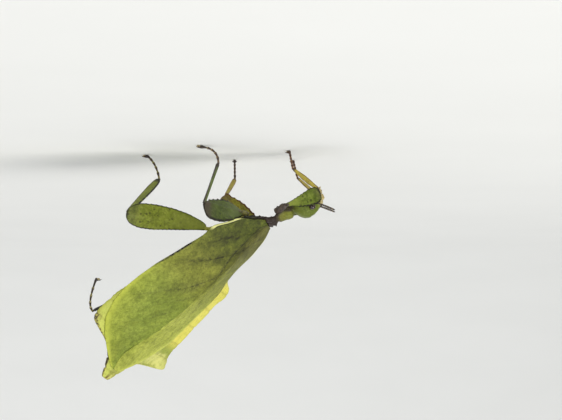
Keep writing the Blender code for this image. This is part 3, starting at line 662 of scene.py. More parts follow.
class LeafInsectSettings(bpy.types.PropertyGroup):
    """Sizes and colours of the leaf insect."""

    # The wings' dark front green is partly painted shade, and their pale rear green and yellow margin are
    # partly painted light shining through from behind.
    wing_front_with_shade: bpy.props.FloatVectorProperty(
        name="Wing, front", description="Green of the wings near the thorax", subtype="COLOR", size=3, min=0,
        max=1,
        default=linear(88, 96, 30),
    )
    wing_middle: bpy.props.FloatVectorProperty(
        name="Wing, middle", description="Green of the wings halfway to the tail", subtype="COLOR", size=3,
        min=0, max=1,
        default=linear(144, 146, 58),
    )
    wing_rear_with_backlight: bpy.props.FloatVectorProperty(
        name="Wing, rear", description="Green of the wings towards the tail", subtype="COLOR", size=3, min=0,
        max=1,
        default=linear(146, 160, 62),
    )
    wing_yellow_backlit: bpy.props.FloatVectorProperty(
        name="Wing, margin", description="Yellow-green of the wings' outer parts", subtype="COLOR", size=3,
        min=0, max=1,
        default=linear(178, 184, 66),
    )
    vein_dark: bpy.props.FloatVectorProperty(
        name="Vein marks", description="Dark olive of the smudges along the veins", subtype="COLOR", size=3,
        min=0, max=1,
        default=linear(38, 38, 14),
    )
    # The rim yellow is partly the abdomen's own yellow and partly painted light shining through the thin rim
    # from behind.
    rim_yellow_backlit: bpy.props.FloatVectorProperty(
        name="Rim", description="Yellow of the abdomen's rim", subtype="COLOR", size=3, min=0, max=1,
        default=linear(224, 216, 98),
    )
    head_green: bpy.props.FloatVectorProperty(
        name="Head", description="Green of the head", subtype="COLOR", size=3, min=0, max=1,
        default=linear(98, 112, 26),
    )
    plate_brown: bpy.props.FloatVectorProperty(
        name="Second plate", description="Purple-brown of the knobbly plate before the wings",
        subtype="COLOR", size=3,
        min=0, max=1, default=linear(50, 38, 32),
    )
    thigh_green: bpy.props.FloatVectorProperty(
        name="Hind thighs", description="Olive green of the hind thighs", subtype="COLOR", size=3, min=0,
        max=1,
        default=linear(122, 132, 38),
    )
    mid_thigh_green: bpy.props.FloatVectorProperty(
        name="Middle thighs", description="Grey-green of the middle thighs", subtype="COLOR", size=3, min=0,
        max=1,
        default=linear(82, 98, 30),
    )
    vein_height: bpy.props.FloatProperty(
        name="Vein height", description="How far the main veins stand out of the wing", default=0.00013,
        min=0, max=0.0004,
        unit="LENGTH", precision=5,
    )
    tooth_height: bpy.props.FloatProperty(
        name="Teeth", description="Height of the teeth along the middle thighs", default=0.00026, min=0,
        max=0.0006,
        unit="LENGTH", precision=5,
    )
    grain_height: bpy.props.FloatProperty(
        name="Granules", description="Height of the granules on the head and plates", default=0.00006, min=0,
        max=0.0002,
        unit="LENGTH", precision=5,
    )


def settings():
    return bpy.context.scene.leaf_insect


# The skin


def skin_rows():
    """Places of the skin's rows: close together on the head and plates, wider along the abdomen."""
    rows = np.concatenate([
        np.array([-13.95, -13.93, -13.89, -13.82, -13.73]), np.arange(-13.62, -3.0, 0.1),
        np.arange(-3.0, 3.2, 0.13),
        np.arange(3.3, 37.0, 0.27), np.arange(37.0, 49.0, 0.16),
        np.array([49.08, 49.16, 49.22, 49.27, TAIL_TIP]),
    ])
    return rows


def furrows(sigma, wide=0.22):
    """1 at each seam between plates or segments, and 0 away from them."""
    total = np.zeros_like(sigma)
    for end in SEGMENT_ENDS + PLATE_SEAMS:
        total = np.maximum(total, np.exp(-(((sigma - end) / wide) ** 2)))
    return total


def saw(x):
    """Teeth from 0 to 1, one to each whole number."""
    part = np.mod(x, 1.0)
    return np.maximum(0.0, 1.0 - np.abs(part - 0.45) / 0.3) ** 1.2


def skin_shape(u, v):
    rows = skin_rows()
    sigma = np.interp(v, np.linspace(0, 1, len(rows)), rows)
    angle = 2 * math.pi * u
    side, height = np.cos(angle), np.sin(angle)
    # Head and first plate: rounded sections.
    half = eased(HEAD_SECTIONS, sigma, 0.12, 1)
    top = eased(HEAD_SECTIONS, sigma, 0.12, 2)
    bottom = eased(HEAD_SECTIONS, sigma, 0.12, 3)
    head_across = half * np.sign(side) * np.abs(side) ** 0.9
    head_rise = (top + bottom) / 2 + (top - bottom) / 2 * np.sign(height) * np.abs(height) ** 0.92
    # From the second plate on: thin margins and a deep belly between them.
    seam = furrows(sigma)
    margin = np.where(side > 0, eased(LEFT_MARGIN, sigma, 0.25), eased(RIGHT_MARGIN, sigma, 0.25))
    plate = smoothstep(-3.2, -2.8, sigma) * smoothstep(2.9, 2.5, sigma)
    margin = margin + plate * 0.42 * saw(sigma / 0.95 + np.where(side > 0, 0.0, 0.35))
    abdomen = smoothstep(9.8, 11.0, sigma) * smoothstep(43.0, 41.5, sigma)
    margin = margin - 0.22 * seam * smoothstep(9.0, 12.0, sigma) + abdomen * 0.05 * np.sin(sigma * 6.1)
    across = margin * side
    near_wing = smoothstep(0.55, 0.95, side) * at(LEFT_LIFT, sigma)
    ridge = roof(across, sigma) - at(BACK_DROP, sigma) + near_wing
    curl = smoothstep(0.7, 1.0, -side) * at(LOBE_PLACES, sigma)
    ridge = ridge + LOBE_CURL * curl
    rim = np.minimum(1.0, np.abs(height) / 0.16) ** 0.5
    thick = eased(MARGIN_THICK, sigma, 0.3) * rim
    deep = eased(BELLY_DEPTH, sigma, 0.4) * np.exp(
        -np.abs(across / eased(BELLY_HALF, sigma, 0.4)) ** at(BELLY_SQUARE, sigma)
    )
    deep = deep * np.minimum(1.0, np.abs(height) / 0.25)
    total = thick + deep - seam * (0.18 + 0.25 * smoothstep(6.0, 1.0, np.abs(across)))
    middle = ridge - eased(MARGIN_THICK, sigma, 0.3) / 2
    upper = middle + thick / 2 - seam * 0.1
    body_rise = np.where(height >= 0, upper, upper - np.maximum(total, 0.12 * rim))
    # The two kinds meet at the neck of the second plate.
    share = smoothstep(HEAD_ENDS - 0.25, HEAD_ENDS + 0.3, sigma)
    out_across = head_across * (1 - share) + across * share
    out_rise = head_rise * (1 - share) + body_rise * share
    # The tail tip closes to a point.
    last = smoothstep(TAIL_TIP - 0.25, TAIL_TIP, sigma)
    out_rise = out_rise * (1 - last) + (ridge - 0.6) * last
    points = body(sigma, out_across, out_rise)
    points = roughen(points, sigma, side, height, out_across, out_rise)
    streak = np.zeros_like(sigma)
    head = sigma < -7
    for sign in (1, -1):
        behind = body(-10.4, 2.4 * sign, -1.2)
        ahead = unit(body(-12.0, 2.3 * sign, -0.5) - body(-9.0, 2.4 * sign, -1.7))
        off = points[head] - behind
        along = off @ ahead
        beside = np.linalg.norm(off - along[:, None] * ahead, axis=1)
        streak[head] = np.maximum(streak[head], np.exp(-((along / 1.5) ** 4) - (beside / 0.5) ** 2))
    marks = {
        "sigma": body_mark(sigma),
        "side": side,
        "edge": np.abs(side) ** 3,
        "face": height * 0.5 + 0.5,
        "seam": seam,
        "streak": streak,
    }
    return points, marks


def roughen(points, sigma, side, height, across, rise):
    """Granules on the head and plates, knobs on the second plate, and rims round the eyes."""
    middle = body(sigma, across * 0.0, np.where(sigma < HEAD_ENDS, -1.6, -1.8))
    outward = points - middle
    outward = outward / np.maximum(np.linalg.norm(outward, axis=1), 1e-6)[:, None]
    front = sigma < 2.9
    push = np.zeros(len(points))
    grain = settings().grain_height / MM
    push[front] += grain * grains(points[front], 0.42, 1.0)
    plate = smoothstep(-3.5, -3.1, sigma) * smoothstep(-0.6, -1.2, sigma)
    knobs = plate > 0.01
    push[knobs] += plate[knobs] * 0.3 * grains(points[knobs], 1.0, 4.0)
    first = smoothstep(-7.4, -7.0, sigma) * smoothstep(-3.5, -3.9, sigma) * (height > -0.2)
    push += first * 0.12 * np.exp(-((np.abs(side) - 0.82) / 0.14) ** 2)
    push -= first * 0.1 * np.exp(-((across / 0.16) ** 2)) * (height > 0)
    for sign in (1, -1):
        eye = body(EYE_PLACE[0], EYE_PLACE[1] * sign, EYE_PLACE[2])
        near = np.linalg.norm(points - eye, axis=1)
        push += 0.14 * np.exp(-(((near - 0.95) / 0.18) ** 2)) * (sigma < -9)
    return points + outward * push[:, None]


def skin_finish():
    look = settings()
    made = Finish("skin", roughness=0.55, gloss=0.3)
    along = made.mark("sigma")
    wander = made.times(made.sum("SUBTRACT", made.noise(2.2, 3), 0.5), 0.02)
    along = made.sum("ADD", along, wander)
    spot = body_mark
    head = tuple(look.head_green)
    brown = tuple(look.plate_brown)
    # The abdomen's bright yellow from sigma 17 to 33 and its paler rear are partly its own yellow-green and
    # partly painted light shining through it from behind.
    paint = made.stops(along, [
        (spot(-13.9), linear(196, 180, 122)), (spot(-13.3), linear(128, 136, 58)), (spot(-12.4), head),
        (spot(-9.5), linear(96, 108, 32)), (spot(-7.9), linear(104, 114, 34)),
        (spot(-7.3), linear(84, 88, 28)),
        (spot(-6.6), linear(116, 120, 32)), (spot(-4.4), linear(110, 110, 30)),
        (spot(-3.7), linear(76, 66, 32)),
        (spot(-3.1), brown), (spot(-0.9), brown), (spot(0.2), linear(54, 52, 26)),
        (spot(1.6), linear(70, 78, 34)),
        (spot(9.8), linear(128, 136, 52)), (spot(13.0), linear(178, 180, 66)),
        (spot(17.0), tuple(look.rim_yellow_backlit)),
        # The darker green at sigma 37 is painted shade in the fold before the last leafy lobe.
        (spot(33.0), tuple(look.rim_yellow_backlit)), (spot(37.0), linear(150, 160, 62)),
        (spot(39.5), linear(206, 206, 116)),
        (spot(43.0), linear(186, 192, 100)), (spot(47.6), linear(168, 170, 82)),
        (spot(49.0), linear(120, 100, 52)),
    ])
    side, edge, face = made.mark("side"), made.mark("edge"), made.mark("face")
    # The abdomen's left part is green like the wing that covers it, and paler towards the tail, partly as
    # painted light shining through the thin abdomen from behind.
    rear = made.ramp(along, spot(26.0), spot(40.0))
    leafy = made.mix(rear, linear(138, 148, 62), linear(196, 202, 92))
    left_part = made.times(made.ramp(side, -0.1, 0.25), made.ramp(along, spot(8.0), spot(12.0)))
    paint = made.mix(made.times(left_part, 0.92), paint, leafy)
    # Below the left and right edges of the first plate the chest is dark.
    under = made.ramp(face, 0.93, 0.8)
    front = made.times(made.ramp(along, spot(-8.4), spot(-7.0)), made.ramp(along, spot(0.6), spot(-1.0)))
    paint = made.mix(made.times(made.times(under, front), 0.92), paint, linear(50, 38, 30))
    chest = made.times(
        made.ramp(face, 0.5, 0.3),
        made.times(made.ramp(along, spot(-0.6), spot(0.6)), made.ramp(along, spot(12.0), spot(8.0))),
    )
    paint = made.mix(made.times(chest, 0.6), paint, linear(92, 88, 40))
    # A dark line runs along the edges of the second plate.
    rim = made.times(
        made.ramp(edge, 0.72, 0.92),
        made.times(made.ramp(along, spot(-1.2), spot(0.0)), made.ramp(along, spot(3.4), spot(2.6))),
    )
    paint = made.mix(made.times(rim, 0.9), paint, linear(26, 22, 14))
    # A dark streak behind each eye.
    streak = made.times(
        made.ramp(made.mark("streak"), 0.2, 0.8), made.ramp(made.noise(0.8, 4, 0.65), 0.3, 0.55, 0.3, 1.0),
    )
    paint = made.mix(made.times(streak, 0.95), paint, linear(34, 34, 16))
    mottle = made.ramp(made.noise(1.6, 6, 0.65), 0.3, 0.72)
    paint = made.mix(made.times(mottle, 0.35), paint, made.mix(1.0, paint, linear(190, 196, 160), "MULTIPLY"))
    freckles = made.ramp(made.noise(0.45, 4, 0.65), 0.52, 0.72)
    paint = made.mix(
        made.times(freckles, 0.5), paint, made.mix(1.0, paint, linear(140, 128, 100), "MULTIPLY"),
    )
    pale = made.ramp(made.cells(0.42, "F1"), 0.35, 0.0)
    granular = made.ramp(along, spot(-3.2), spot(-4.4))
    paint = made.mix(made.times(made.times(pale, granular), 0.3), paint, linear(170, 176, 90))
    paint = made.mix(made.times(made.mark("seam"), 0.3), paint, linear(110, 104, 40))
    # Pale patches on the last leafy segment of the right side.
    lobe = made.times(made.ramp(along, spot(37.2), spot(38.6)), made.ramp(side, -0.45, -0.7))
    patches = made.ramp(made.noise(1.9, 3, 0.5), 0.46, 0.56)
    paint = made.mix(made.times(made.times(lobe, patches), 0.7), paint, linear(216, 214, 126))
    outline = made.times(made.ramp(edge, 0.82, 0.98), made.ramp(along, spot(12.0), spot(16.0)))
    paint = made.mix(made.times(outline, 0.45), paint, linear(150, 150, 52))
    # A brown, dotted rim at the left rear corner and down to the tail.
    corner = made.times(made.ramp(along, spot(37.6), spot(39.2)), made.ramp(side, 0.1, 0.4))
    line = made.ramp(edge, 0.6, 0.9)
    paint = made.mix(made.times(made.times(corner, line), 0.6), paint, linear(132, 112, 56))
    dots = made.ramp(made.noise(0.8, 2, 0.5), 0.5, 0.57)
    paint = made.mix(made.times(made.times(made.times(corner, line), dots), 0.9), paint, linear(46, 36, 22))
    made.colour(paint)
    made.bump(made.noise(0.22, 3, 0.6), 0.06, 0.5)
    made.bump(made.cells(0.3, "F1"), 0.04, 0.35)
    return made.material


class LEAFINSECT_OT_skin(bpy.types.Operator):
    """Add one skin from the head to the tail tip"""

    bl_idname = "leafinsect.skin"
    bl_label = "Skin"

    def execute(self, context):
        rows = len(skin_rows()) - 1
        mesh = wrapped_mesh("body_skin", 200, rows, skin_shape)
        nodes = ["head", "pronotum", "mesothorax", "metathorax", "abdomen", "abdomen_tip"]
        add_piece("body_skin", mesh, [skin_finish()], nodes)
        return {"FINISHED"}


# Eyes, feelers and mouth


def eye_finish():
    made = Finish("eye", roughness=0.24, gloss=0.5)
    made.shader.inputs["Coat Weight"].default_value = 0.35
    made.shader.inputs["Coat Roughness"].default_value = 0.12
    bands = made.ramp(made.noise(0.5, 2, stretch=(1.0, 1.0, 3.0)), 0.35, 0.65)
    made.colour(made.mix(bands, linear(26, 16, 14), linear(62, 38, 26)))
    made.bump(made.cells(0.085, "F1"), 0.008, 0.5)
    return made.material


class LEAFINSECT_OT_eyes(bpy.types.Operator):
    """Add the two glossy eyes"""

    bl_idname = "leafinsect.eyes"
    bl_label = "Eyes"

    def execute(self, context):
        finish = eye_finish()
        for name, sign in (("left", 1), ("right", -1)):
            centre = body(EYE_PLACE[0], EYE_PLACE[1] * sign, EYE_PLACE[2])
            outward = body(EYE_PLACE[0], (EYE_PLACE[1] + 1) * sign, EYE_PLACE[2]) - centre
            ahead = body(EYE_PLACE[0] - 1, EYE_PLACE[1] * sign, EYE_PLACE[2]) - centre
            made = bmesh.new()
            ball(
                made, centre, outward, ahead, EYE_RADIUS * 0.8, EYE_RADIUS * 0.94, EYE_RADIUS * 0.84,
                segments=48,
            )
            add_piece(f"{name}_eye", finish_rod(made, f"{name}_eye"), [finish], [f"eye_{name}"])
        return {"FINISHED"}


def horn_finish(name, dark, pale, banded):
    """A smooth horny finish, banded along the rod where banded is above 0."""
    made = Finish(name, roughness=0.38)
    spread = made.ramp(made.noise(0.6, 4), 0.3, 0.7)
    paint = made.mix(spread, dark, pale)
    if banded:
        ringed = made.ramp(made.sum("SINE", made.times(made.mark("along"), 2 * math.pi * banded)), 0.55, 0.95)
        paint = made.mix(made.times(ringed, 0.55), paint, linear(150, 136, 96))
    made.colour(paint)
    made.bump(made.noise(0.12, 3), 0.02, 0.4)
    return made.material


def feeler_stations(sign):
    start = body(-12.2, 1.7 * sign, -1.5)
    ahead = unit((0.94, 0.17, 0.3) if sign > 0 else (0.9, -0.36, 0.22))
    up = np.array([0.0, 0.0, 1.0])
    stations, shares = [], []
    lengths = [0.66, 0.43, 0.4, 0.47, 0.51, 0.52, 0.56, 0.6, 0.88]
    place = -0.12
    widths = [0.3, 0.24, 0.2, 0.21, 0.22, 0.23, 0.23, 0.22, 0.21]
    for k, (length, half) in enumerate(zip(lengths, widths)):
        taper = [(0.0, 0.72), (0.12, 0.95), (0.5, 0.9), (0.85, 1.06), (0.97, 0.8)]
        if k == 8:
            taper = [(0.0, 0.72), (0.15, 0.95), (0.5, 0.9), (0.75, 0.7), (0.92, 0.42), (1.0, 0.1)]
        for share, size in taper:
            far = place + length * share
            droop = up * 0.4 * (max(far, 0.0) / ANTENNA_LENGTH) ** 2
            stations.append((start + ahead * (far + 0.15) + droop, ahead, up, half * size, half * size))
            shares.append((k + share) / 9.0)
        place += length
    return stations, shares


class LEAFINSECT_OT_feelers(bpy.types.Operator):
    """Add the two short, nine-jointed feelers"""

    bl_idname = "leafinsect.feelers"
    bl_label = "Feelers"

    def execute(self, context):
        finish = horn_finish("feeler", linear(30, 20, 18), linear(58, 42, 34), 9)
        for name, sign in (("left", 1), ("right", -1)):
            made = bmesh.new()
            stations, shares = feeler_stations(sign)
            grow(made, stations, 12, marks=shares)
            root, ahead, up = stations[0][0], stations[0][1], stations[0][2]
            ball(made, root - ahead * 0.05, ahead, up, 0.3, 0.5, 0.5, along=0.02)
            add_piece(
                f"{name}_feeler", finish_rod(made, f"{name}_feeler"), [finish],
                [f"antenna_{name}"],
            )
        return {"FINISHED"}


class LEAFINSECT_OT_mouth(bpy.types.Operator):
    """Add the mouthparts and the two jointed palps"""

    bl_idname = "leafinsect.mouth"
    bl_label = "Mouthparts"

    def execute(self, context):
        finish = horn_finish("mouth", linear(206, 190, 128), linear(166, 146, 88), 0)
        made = bmesh.new()
        forward = body(-15.0, 0, -2.0) - body(-14.0, 0, -2.0)
        up = body(-14.0, 0, -1.0) - body(-14.0, 0, -2.0)
        left = body(-14.0, 1.0, -2.0) - body(-14.0, 0.0, -2.0)
        # Clypeus, upper lip, two jaws and the lower lip.
        ball(made, body(-13.8, 0, -1.5), forward, up, 0.45, 0.6, 1.0, segments=22)
        ball(made, body(-14.25, 0, -2.05), forward - up * 0.5, up, 0.6, 0.36, 0.8, segments=22)
        for sign in (1, -1):
            ball(
                made, body(-14.1, 0.75 * sign, -2.5), forward - up * 0.5 - left * 0.3 * sign, up, 0.7, 0.4,
                0.38, segments=18,
            )
        ball(made, body(-13.9, 0, -3.2), forward - up * 0.5, up, 0.8, 0.3, 0.65, segments=20)
        for sign in (1, -1):
            start = body(-14.0, 0.5 * sign, -3.3)
            ahead = unit(body(-14.6, 0.7 * sign, -4.4) - start)
            stations = []
            for k, half in enumerate((0.1, 0.13, 0.1, 0.13, 0.1, 0.12, 0.04)):
                stations.append((start + ahead * 0.17 * k, ahead, up, half, half))
            grow(made, stations, 10)
        add_piece("mouth", finish_rod(made, "mouth"), [finish], ["mouthparts"])
        palp_look = horn_finish("palp", linear(190, 172, 112), linear(120, 98, 60), 4)
        for name, sign in (("left", 1), ("right", -1)):
            start = body(-13.6, 1.35 * sign, -3.0)
            ahead = unit(body(-15.0, 1.9 * sign, -4.9) - start)
            bend = unit(up * -1.0)
            stations = []
            halves = (0.14, 0.19, 0.2, 0.14, 0.19, 0.2, 0.13, 0.19, 0.2, 0.13, 0.17, 0.18, 0.14, 0.05)
            for k, half in enumerate(halves):
                far = PALP_LENGTH * k / (len(halves) - 1)
                stations.append(
                    (start + ahead * far + bend * 0.12 * math.sin(far * 1.4), ahead, up, half, half)
                )
            made = bmesh.new()
            grow(made, stations, 12)
            add_piece(
                f"{name}_palp", finish_rod(made, f"{name}_palp"), [palp_look], [f"palp_{name}"],
            )
        return {"FINISHED"}


# Wings


def vein_lines(share, place):
    """The main veins as thin ridges, and the dark marks along them, each from 0 to 1."""
    line, smudge = np.zeros_like(share), np.zeros_like(share)
    for k, (start, sweep, drift, first, second, third) in enumerate(VEINS):
        at_share = start + sweep * (
            1 - np.exp(-share / 0.15)
        ) + drift * share + 0.004 * np.sin(share * 13 + k * 2)
        fork = 0.03 * np.maximum(share - 0.55 - 0.05 * (k % 3), 0.0) / 0.4
        dark = np.interp(share, (0.0, 0.25, 0.5, 0.75, 0.9), (first * 0.7, first, second, third, 0.0))
        shown = smoothstep(1.0, 0.9, share) * (1 - 0.6 * share)
        for branch in (-1, 1):
            away = place - at_share - branch * fork
            line = np.maximum(line, np.exp(-((away / 0.0038) ** 2)) * shown)
            smudge = np.maximum(smudge, np.exp(-((away / 0.012) ** 2)) * dark)
            smudge = np.maximum(smudge, np.exp(-((away / 0.046) ** 2)) * dark * 0.62)
    for blot_place, blot_share, strength in BLOTS:
        away = ((place - blot_place) / 0.02) ** 2 + ((share - blot_share) / 0.06) ** 2
        smudge = np.maximum(smudge, np.exp(-away) * strength)
    rib = (share - at(MIDRIB, place)) / 0.011
    fade = smoothstep(0.62, 0.2, place)
    line = np.maximum(line, np.exp(-(rib**2)) * (0.25 + 0.6 * fade))
    smudge = np.maximum(smudge, np.exp(-((rib / 2.0) ** 2)) * fade)
    return line, smudge


def wing_shape(sign):
    """The shape function of one wing."""
    table = LEFT_WING_EDGE if sign > 0 else RIGHT_WING_EDGE
    inner_table = LEFT_INNER_EDGE if sign > 0 else RIGHT_INNER_EDGE
    height = settings().vein_height / MM * (1.0 if sign > 0 else 0.45)

    def shape(u, v, face):
        place, share = v, u
        inner = WING_FRONT + (WING_BACK - WING_FRONT) * place
        outer = WING_FRONT + (WING_BACK - WING_FRONT) * (place + WING_SWEEP * np.sin(math.pi * place))
        outer = np.minimum(outer, WING_BACK)
        edge = eased(table, outer, 0.35)
        inner_edge = eased(inner_table, inner, 1.0)
        sigma = inner + (outer - inner) * share**1.25
        across = inner_edge + (edge - inner_edge) * share
        line, smudge = vein_lines(share, place)
        raised = height * line
        lap = 0.12 * smoothstep(0.05, 0.0, share) if sign > 0 else -0.42 * smoothstep(0.5, -0.3, across)
        slack = 0.05 * np.sin(place * 40 + share * 7) * share * smoothstep(0.0, 0.1, 1 - share)
        lift = roof(across * sign, sigma) + raised + lap + slack
        # The costal edge is a raised cord near the shoulder.
        pale = smoothstep(1.6, 2.6, outer) * smoothstep(8.6, 7.4, outer)
        lift = lift + 0.1 * pale * np.exp(-(((share - 0.955) / 0.022) ** 2))
        thick = 0.34 - 0.2 * smoothstep(0.8, 1.0, share) - 0.07 * smoothstep(0.9, 1.0, share) * smoothstep(
            18.0, 26.0, outer,
        )
        thick = thick - 0.16 * smoothstep(0.97, 1.0, place) - 0.1 * smoothstep(0.02, 0.0, place)
        rise = np.where(face > 0, lift, lift - thick - raised * 1.6)
        points = body(sigma, across * sign, rise)
        black = smoothstep(12.2, 13.0, outer) * smoothstep(24.0, 19.0, outer)
        shoulder = smoothstep(2.6, 1.6, outer)
        marks = {
            "share": share,
            "place": place,
            "sigma": body_mark(sigma),
            "vein": line,
            "smudge": smudge * (1.0 if sign > 0 else 0.5),
            "costal": smoothstep(0.955, 0.975, share) * np.maximum(black, shoulder),
            "pale": smoothstep(0.925, 0.95, share) * pale,
            "beneath": smoothstep(0.885, 0.9, share) * smoothstep(0.94, 0.93, share) * pale,
            "rim": smoothstep(0.9, 0.985, share) * smoothstep(18.0, 30.0, outer),
        }
        return points, marks

    return shape


def wing_finish(name, front, middle, rear, dark, band, yellow):
    """Dark green near the thorax, partly as painted shade, paler to the tail, partly as painted light from
    behind, with smudged veins and a dark or pale costal edge.
    """
    made = Finish(name, roughness=0.55, gloss=0.22)
    sigma, share, place = made.mark("sigma"), made.mark("share"), made.mark("place")
    drift = made.times(made.sum("SUBTRACT", made.noise(8.0, 3), 0.5), 0.22)
    along = made.sum("ADD", made.ramp(sigma, 0.2, 0.82), drift)
    paint = made.stops(along, [(0.0, front), (0.42, middle), (0.85, rear)])
    # Yellow towards the outer rear edge: partly the wing's own yellow-green and partly painted light shining
    # through the thin wing from behind.
    backlit_edge = made.times(made.ramp(share, 0.55, 1.0), made.ramp(sigma, 0.42, 0.72))
    paint = made.mix(made.times(backlit_edge, 0.5), paint, yellow)
    near_ridge = made.times(made.ramp(share, 0.16, 0.05), made.ramp(place, 0.42, 0.1))
    paint = made.mix(made.times(near_ridge, 0.75), paint, band)
    # Leaf-like mottling in four sizes.
    for size, low, high, amount, tint in (
        (5.0, 0.36, 0.66, 0.5, linear(200, 206, 160)), (1.9, 0.4, 0.66, 0.5, linear(190, 196, 150)),
        (0.7, 0.42, 0.64, 0.5, linear(180, 182, 146)), (0.25, 0.42, 0.62, 0.3, linear(190, 188, 160)),
    ):
        speck = made.ramp(made.noise(size, 5, 0.62), low, high)
        paint = made.mix(made.times(speck, amount), paint, made.mix(1.0, paint, tint, "MULTIPLY"))
    light = made.ramp(made.noise(1.1, 4, 0.6), 0.5, 0.72)
    paint = made.mix(made.times(light, 0.16), paint, yellow)
    # The finest veins divide the wing into small cells.
    net = made.ramp(made.cells(0.85, wobble=0.5), 0.09, 0.0)
    paint = made.mix(made.times(net, 0.13), paint, made.mix(1.0, paint, linear(140, 140, 100), "MULTIPLY"))
    # Dark smudges follow the main veins in broken stretches, most of all near the front.
    broken = made.times(
        made.ramp(made.noise(1.0, 6, 0.72), 0.38, 0.56, 0.35, 1.0),
        made.ramp(made.noise(4.5, 2), 0.34, 0.52, 0.5, 1.0),
    )
    strong = made.ramp(sigma, 0.85, 0.35, 0.45, 1.0)
    smudge = made.times(made.times(made.mark("smudge"), broken), strong)
    paint = made.mix(smudge, paint, dark)
    paint = made.mix(made.times(made.mark("vein"), 0.07), paint, dark)
    blots = made.times(made.ramp(made.noise(2.6, 4, 0.6), 0.5, 0.64), made.ramp(sigma, 0.5, 0.2, 0.1, 0.6))
    paint = made.mix(blots, paint, dark)
    pepper = made.times(made.ramp(made.noise(0.5, 2, 0.5), 0.62, 0.72), made.ramp(sigma, 0.6, 0.25, 0.1, 0.7))
    paint = made.mix(pepper, paint, dark)
    # The costal edge: pale and raised at the base, then black and dotted, then yellow, partly as painted
    # light shining through from behind.
    paint = made.mix(made.times(made.mark("rim"), 0.75), paint, yellow)
    dotted = made.ramp(made.noise(0.9, 2, 0.5), 0.38, 0.5)
    rear_dots = made.times(
        made.ramp(made.mark("rim"), 0.75, 1.0), made.ramp(made.noise(0.7, 2, 0.5), 0.55, 0.64),
    )
    paint = made.mix(made.times(rear_dots, 0.25), paint, linear(110, 96, 46))
    paint = made.mix(made.mark("pale"), paint, linear(214, 214, 140))
    paint = made.mix(made.times(made.mark("beneath"), 0.85), paint, linear(40, 40, 18))
    paint = made.mix(
        made.times(made.mark("costal"), made.sum("MAXIMUM", dotted, 0.5)), paint, linear(28, 24, 14),
    )
    made.colour(paint)
    made.bump(net, 0.04, 0.3)
    made.bump(made.noise(0.35, 4, 0.62), 0.07, 0.5)
    return made.material


class LEAFINSECT_OT_wings(bpy.types.Operator):
    """Add the two leaf-like forewings"""

    bl_idname = "leafinsect.wings"
    bl_label = "Wings"

    def execute(self, context):
        look = settings()
        front, rear, dark = tuple(look.wing_front_with_shade), tuple(look.wing_rear_with_backlight), tuple(look.vein_dark)
        middle, yellow = tuple(look.wing_middle), tuple(look.wing_yellow_backlit)
        left = wing_finish("left wing", front, middle, rear, dark, linear(96, 94, 44), yellow)
        # The right wing's finish is a paler copy of the left's: partly its own paler green and partly painted
        # light on the wing that faces up and lets light through.
        right = wing_finish(
            "right wing", linear(108, 106, 44), linear(150, 154, 60), linear(188, 194, 86), dark,
            linear(100, 94, 52),
            linear(196, 202, 90),
        )
        for name, sign, finish in (("left", 1, left), ("right", -1, right)):
            mesh = leaf_mesh(f"{name}_wing", 90, 330, wing_shape(sign))
            add_piece(f"{name}_wing", mesh, [finish], [f"tegmen_{name}"])
        return {"FINISHED"}


# Legs


def leg_points(name):
    """Stance points of a leg: coxa, trochanter, knee, ankle and foot."""
    leg = LEGS[name]
    root, start = body(*leg["coxa"]), body(*leg["trochanter"])
    knee, ankle, foot = (np.array(leg[key], float) for key in ("knee", "ankle", "foot"))
    return root, start, knee, ankle, foot, np.array(leg["lobe_up"], float)


def thigh_shape(name):
    """The shape function of one thigh: a strut with a thin, toothed lobe above and below it."""
    kind = name.split("_")[0]
    _, start, knee, _, _, lobe_up = leg_points(name)
    direction = unit(knee - start)
    start = start + direction * {"fore": 0.3, "mid": -1.1, "hind": 0.5}[kind]
    lean = {"fore": 0.0, "mid": 0.45, "hind": 0.0}[kind]
    knee = knee + direction * 0.15
    length = np.linalg.norm(knee - start)
    up = unit(lobe_up - direction * np.dot(direction, lobe_up))
    out = np.cross(direction, up)
    strut, table = STRUT_HALF[kind], FEMUR_LOBES[kind]
    tooth = settings().tooth_height / MM
    teeth = {"fore": (0.5, 0.4, 9), "mid": (0.35, 1.0, 8), "hind": (0.25, 0.3, 16)}[kind]
    edge_from = {"fore": (0.8, 0.94), "mid": (0.79, 0.9), "hind": (0.89, 0.96)}[kind]

    def shape(u, v, face):
        above = eased(table, v, 0.035, 1)
        under = eased(table, v, 0.035, 2)
        middle = smoothstep(0.12, 0.3, v) * smoothstep(0.99, 0.93, v)
        above = above + tooth * teeth[0] * saw(v * teeth[2] * 1.2 + 0.3) * middle
        under = under + tooth * teeth[1] * saw(v * teeth[2]) * middle
        end = np.sqrt(np.clip(1 - (np.abs(v - 0.5) * 2) ** 40, 0.03, 1))
        above, under = above * end, under * end
        x = -under + (under + above) * u
        reach = np.where(x > 0, x / above, -x / under)
        r = strut * (1.0 - 0.18 * np.sin(math.pi * v)) * end
        rod = 0.5 * r * np.clip(1 - (x / (1.8 * r)) ** 2, 0, 1) ** 1.5
        lobe = 0.15 - 0.09 * smoothstep(0.75, 1.0, reach)
        slant = (v * length - np.abs(x) * 0.8) / 1.5
        ribs = np.maximum(
            0, np.cos(2 * math.pi * slant),
        ) ** 10 * smoothstep(r, r + 0.4, np.abs(x)) * (1 - 0.6 * reach)
        half = np.sqrt(lobe**2 + rod**2) + 0.035 * ribs * (reach < 1)
        bow = -0.16 * reach**2 + 0.07 * np.sin(v * 11 + x) * reach
        far = length * v + lean * np.maximum(x, 0.0) * smoothstep(0.1, 0.9, v)
        points = start + direction * far[:, None] + up * x[:, None] + out * (bow + face * half)[:, None]
        marks = {
            "along": v,
            "reach": reach,
            "edge": smoothstep(*edge_from, reach),
            "rib": ribs,
            "rod": smoothstep(1.0, 0.4, np.abs(x) / r),
        }
        return points, marks

    return shape


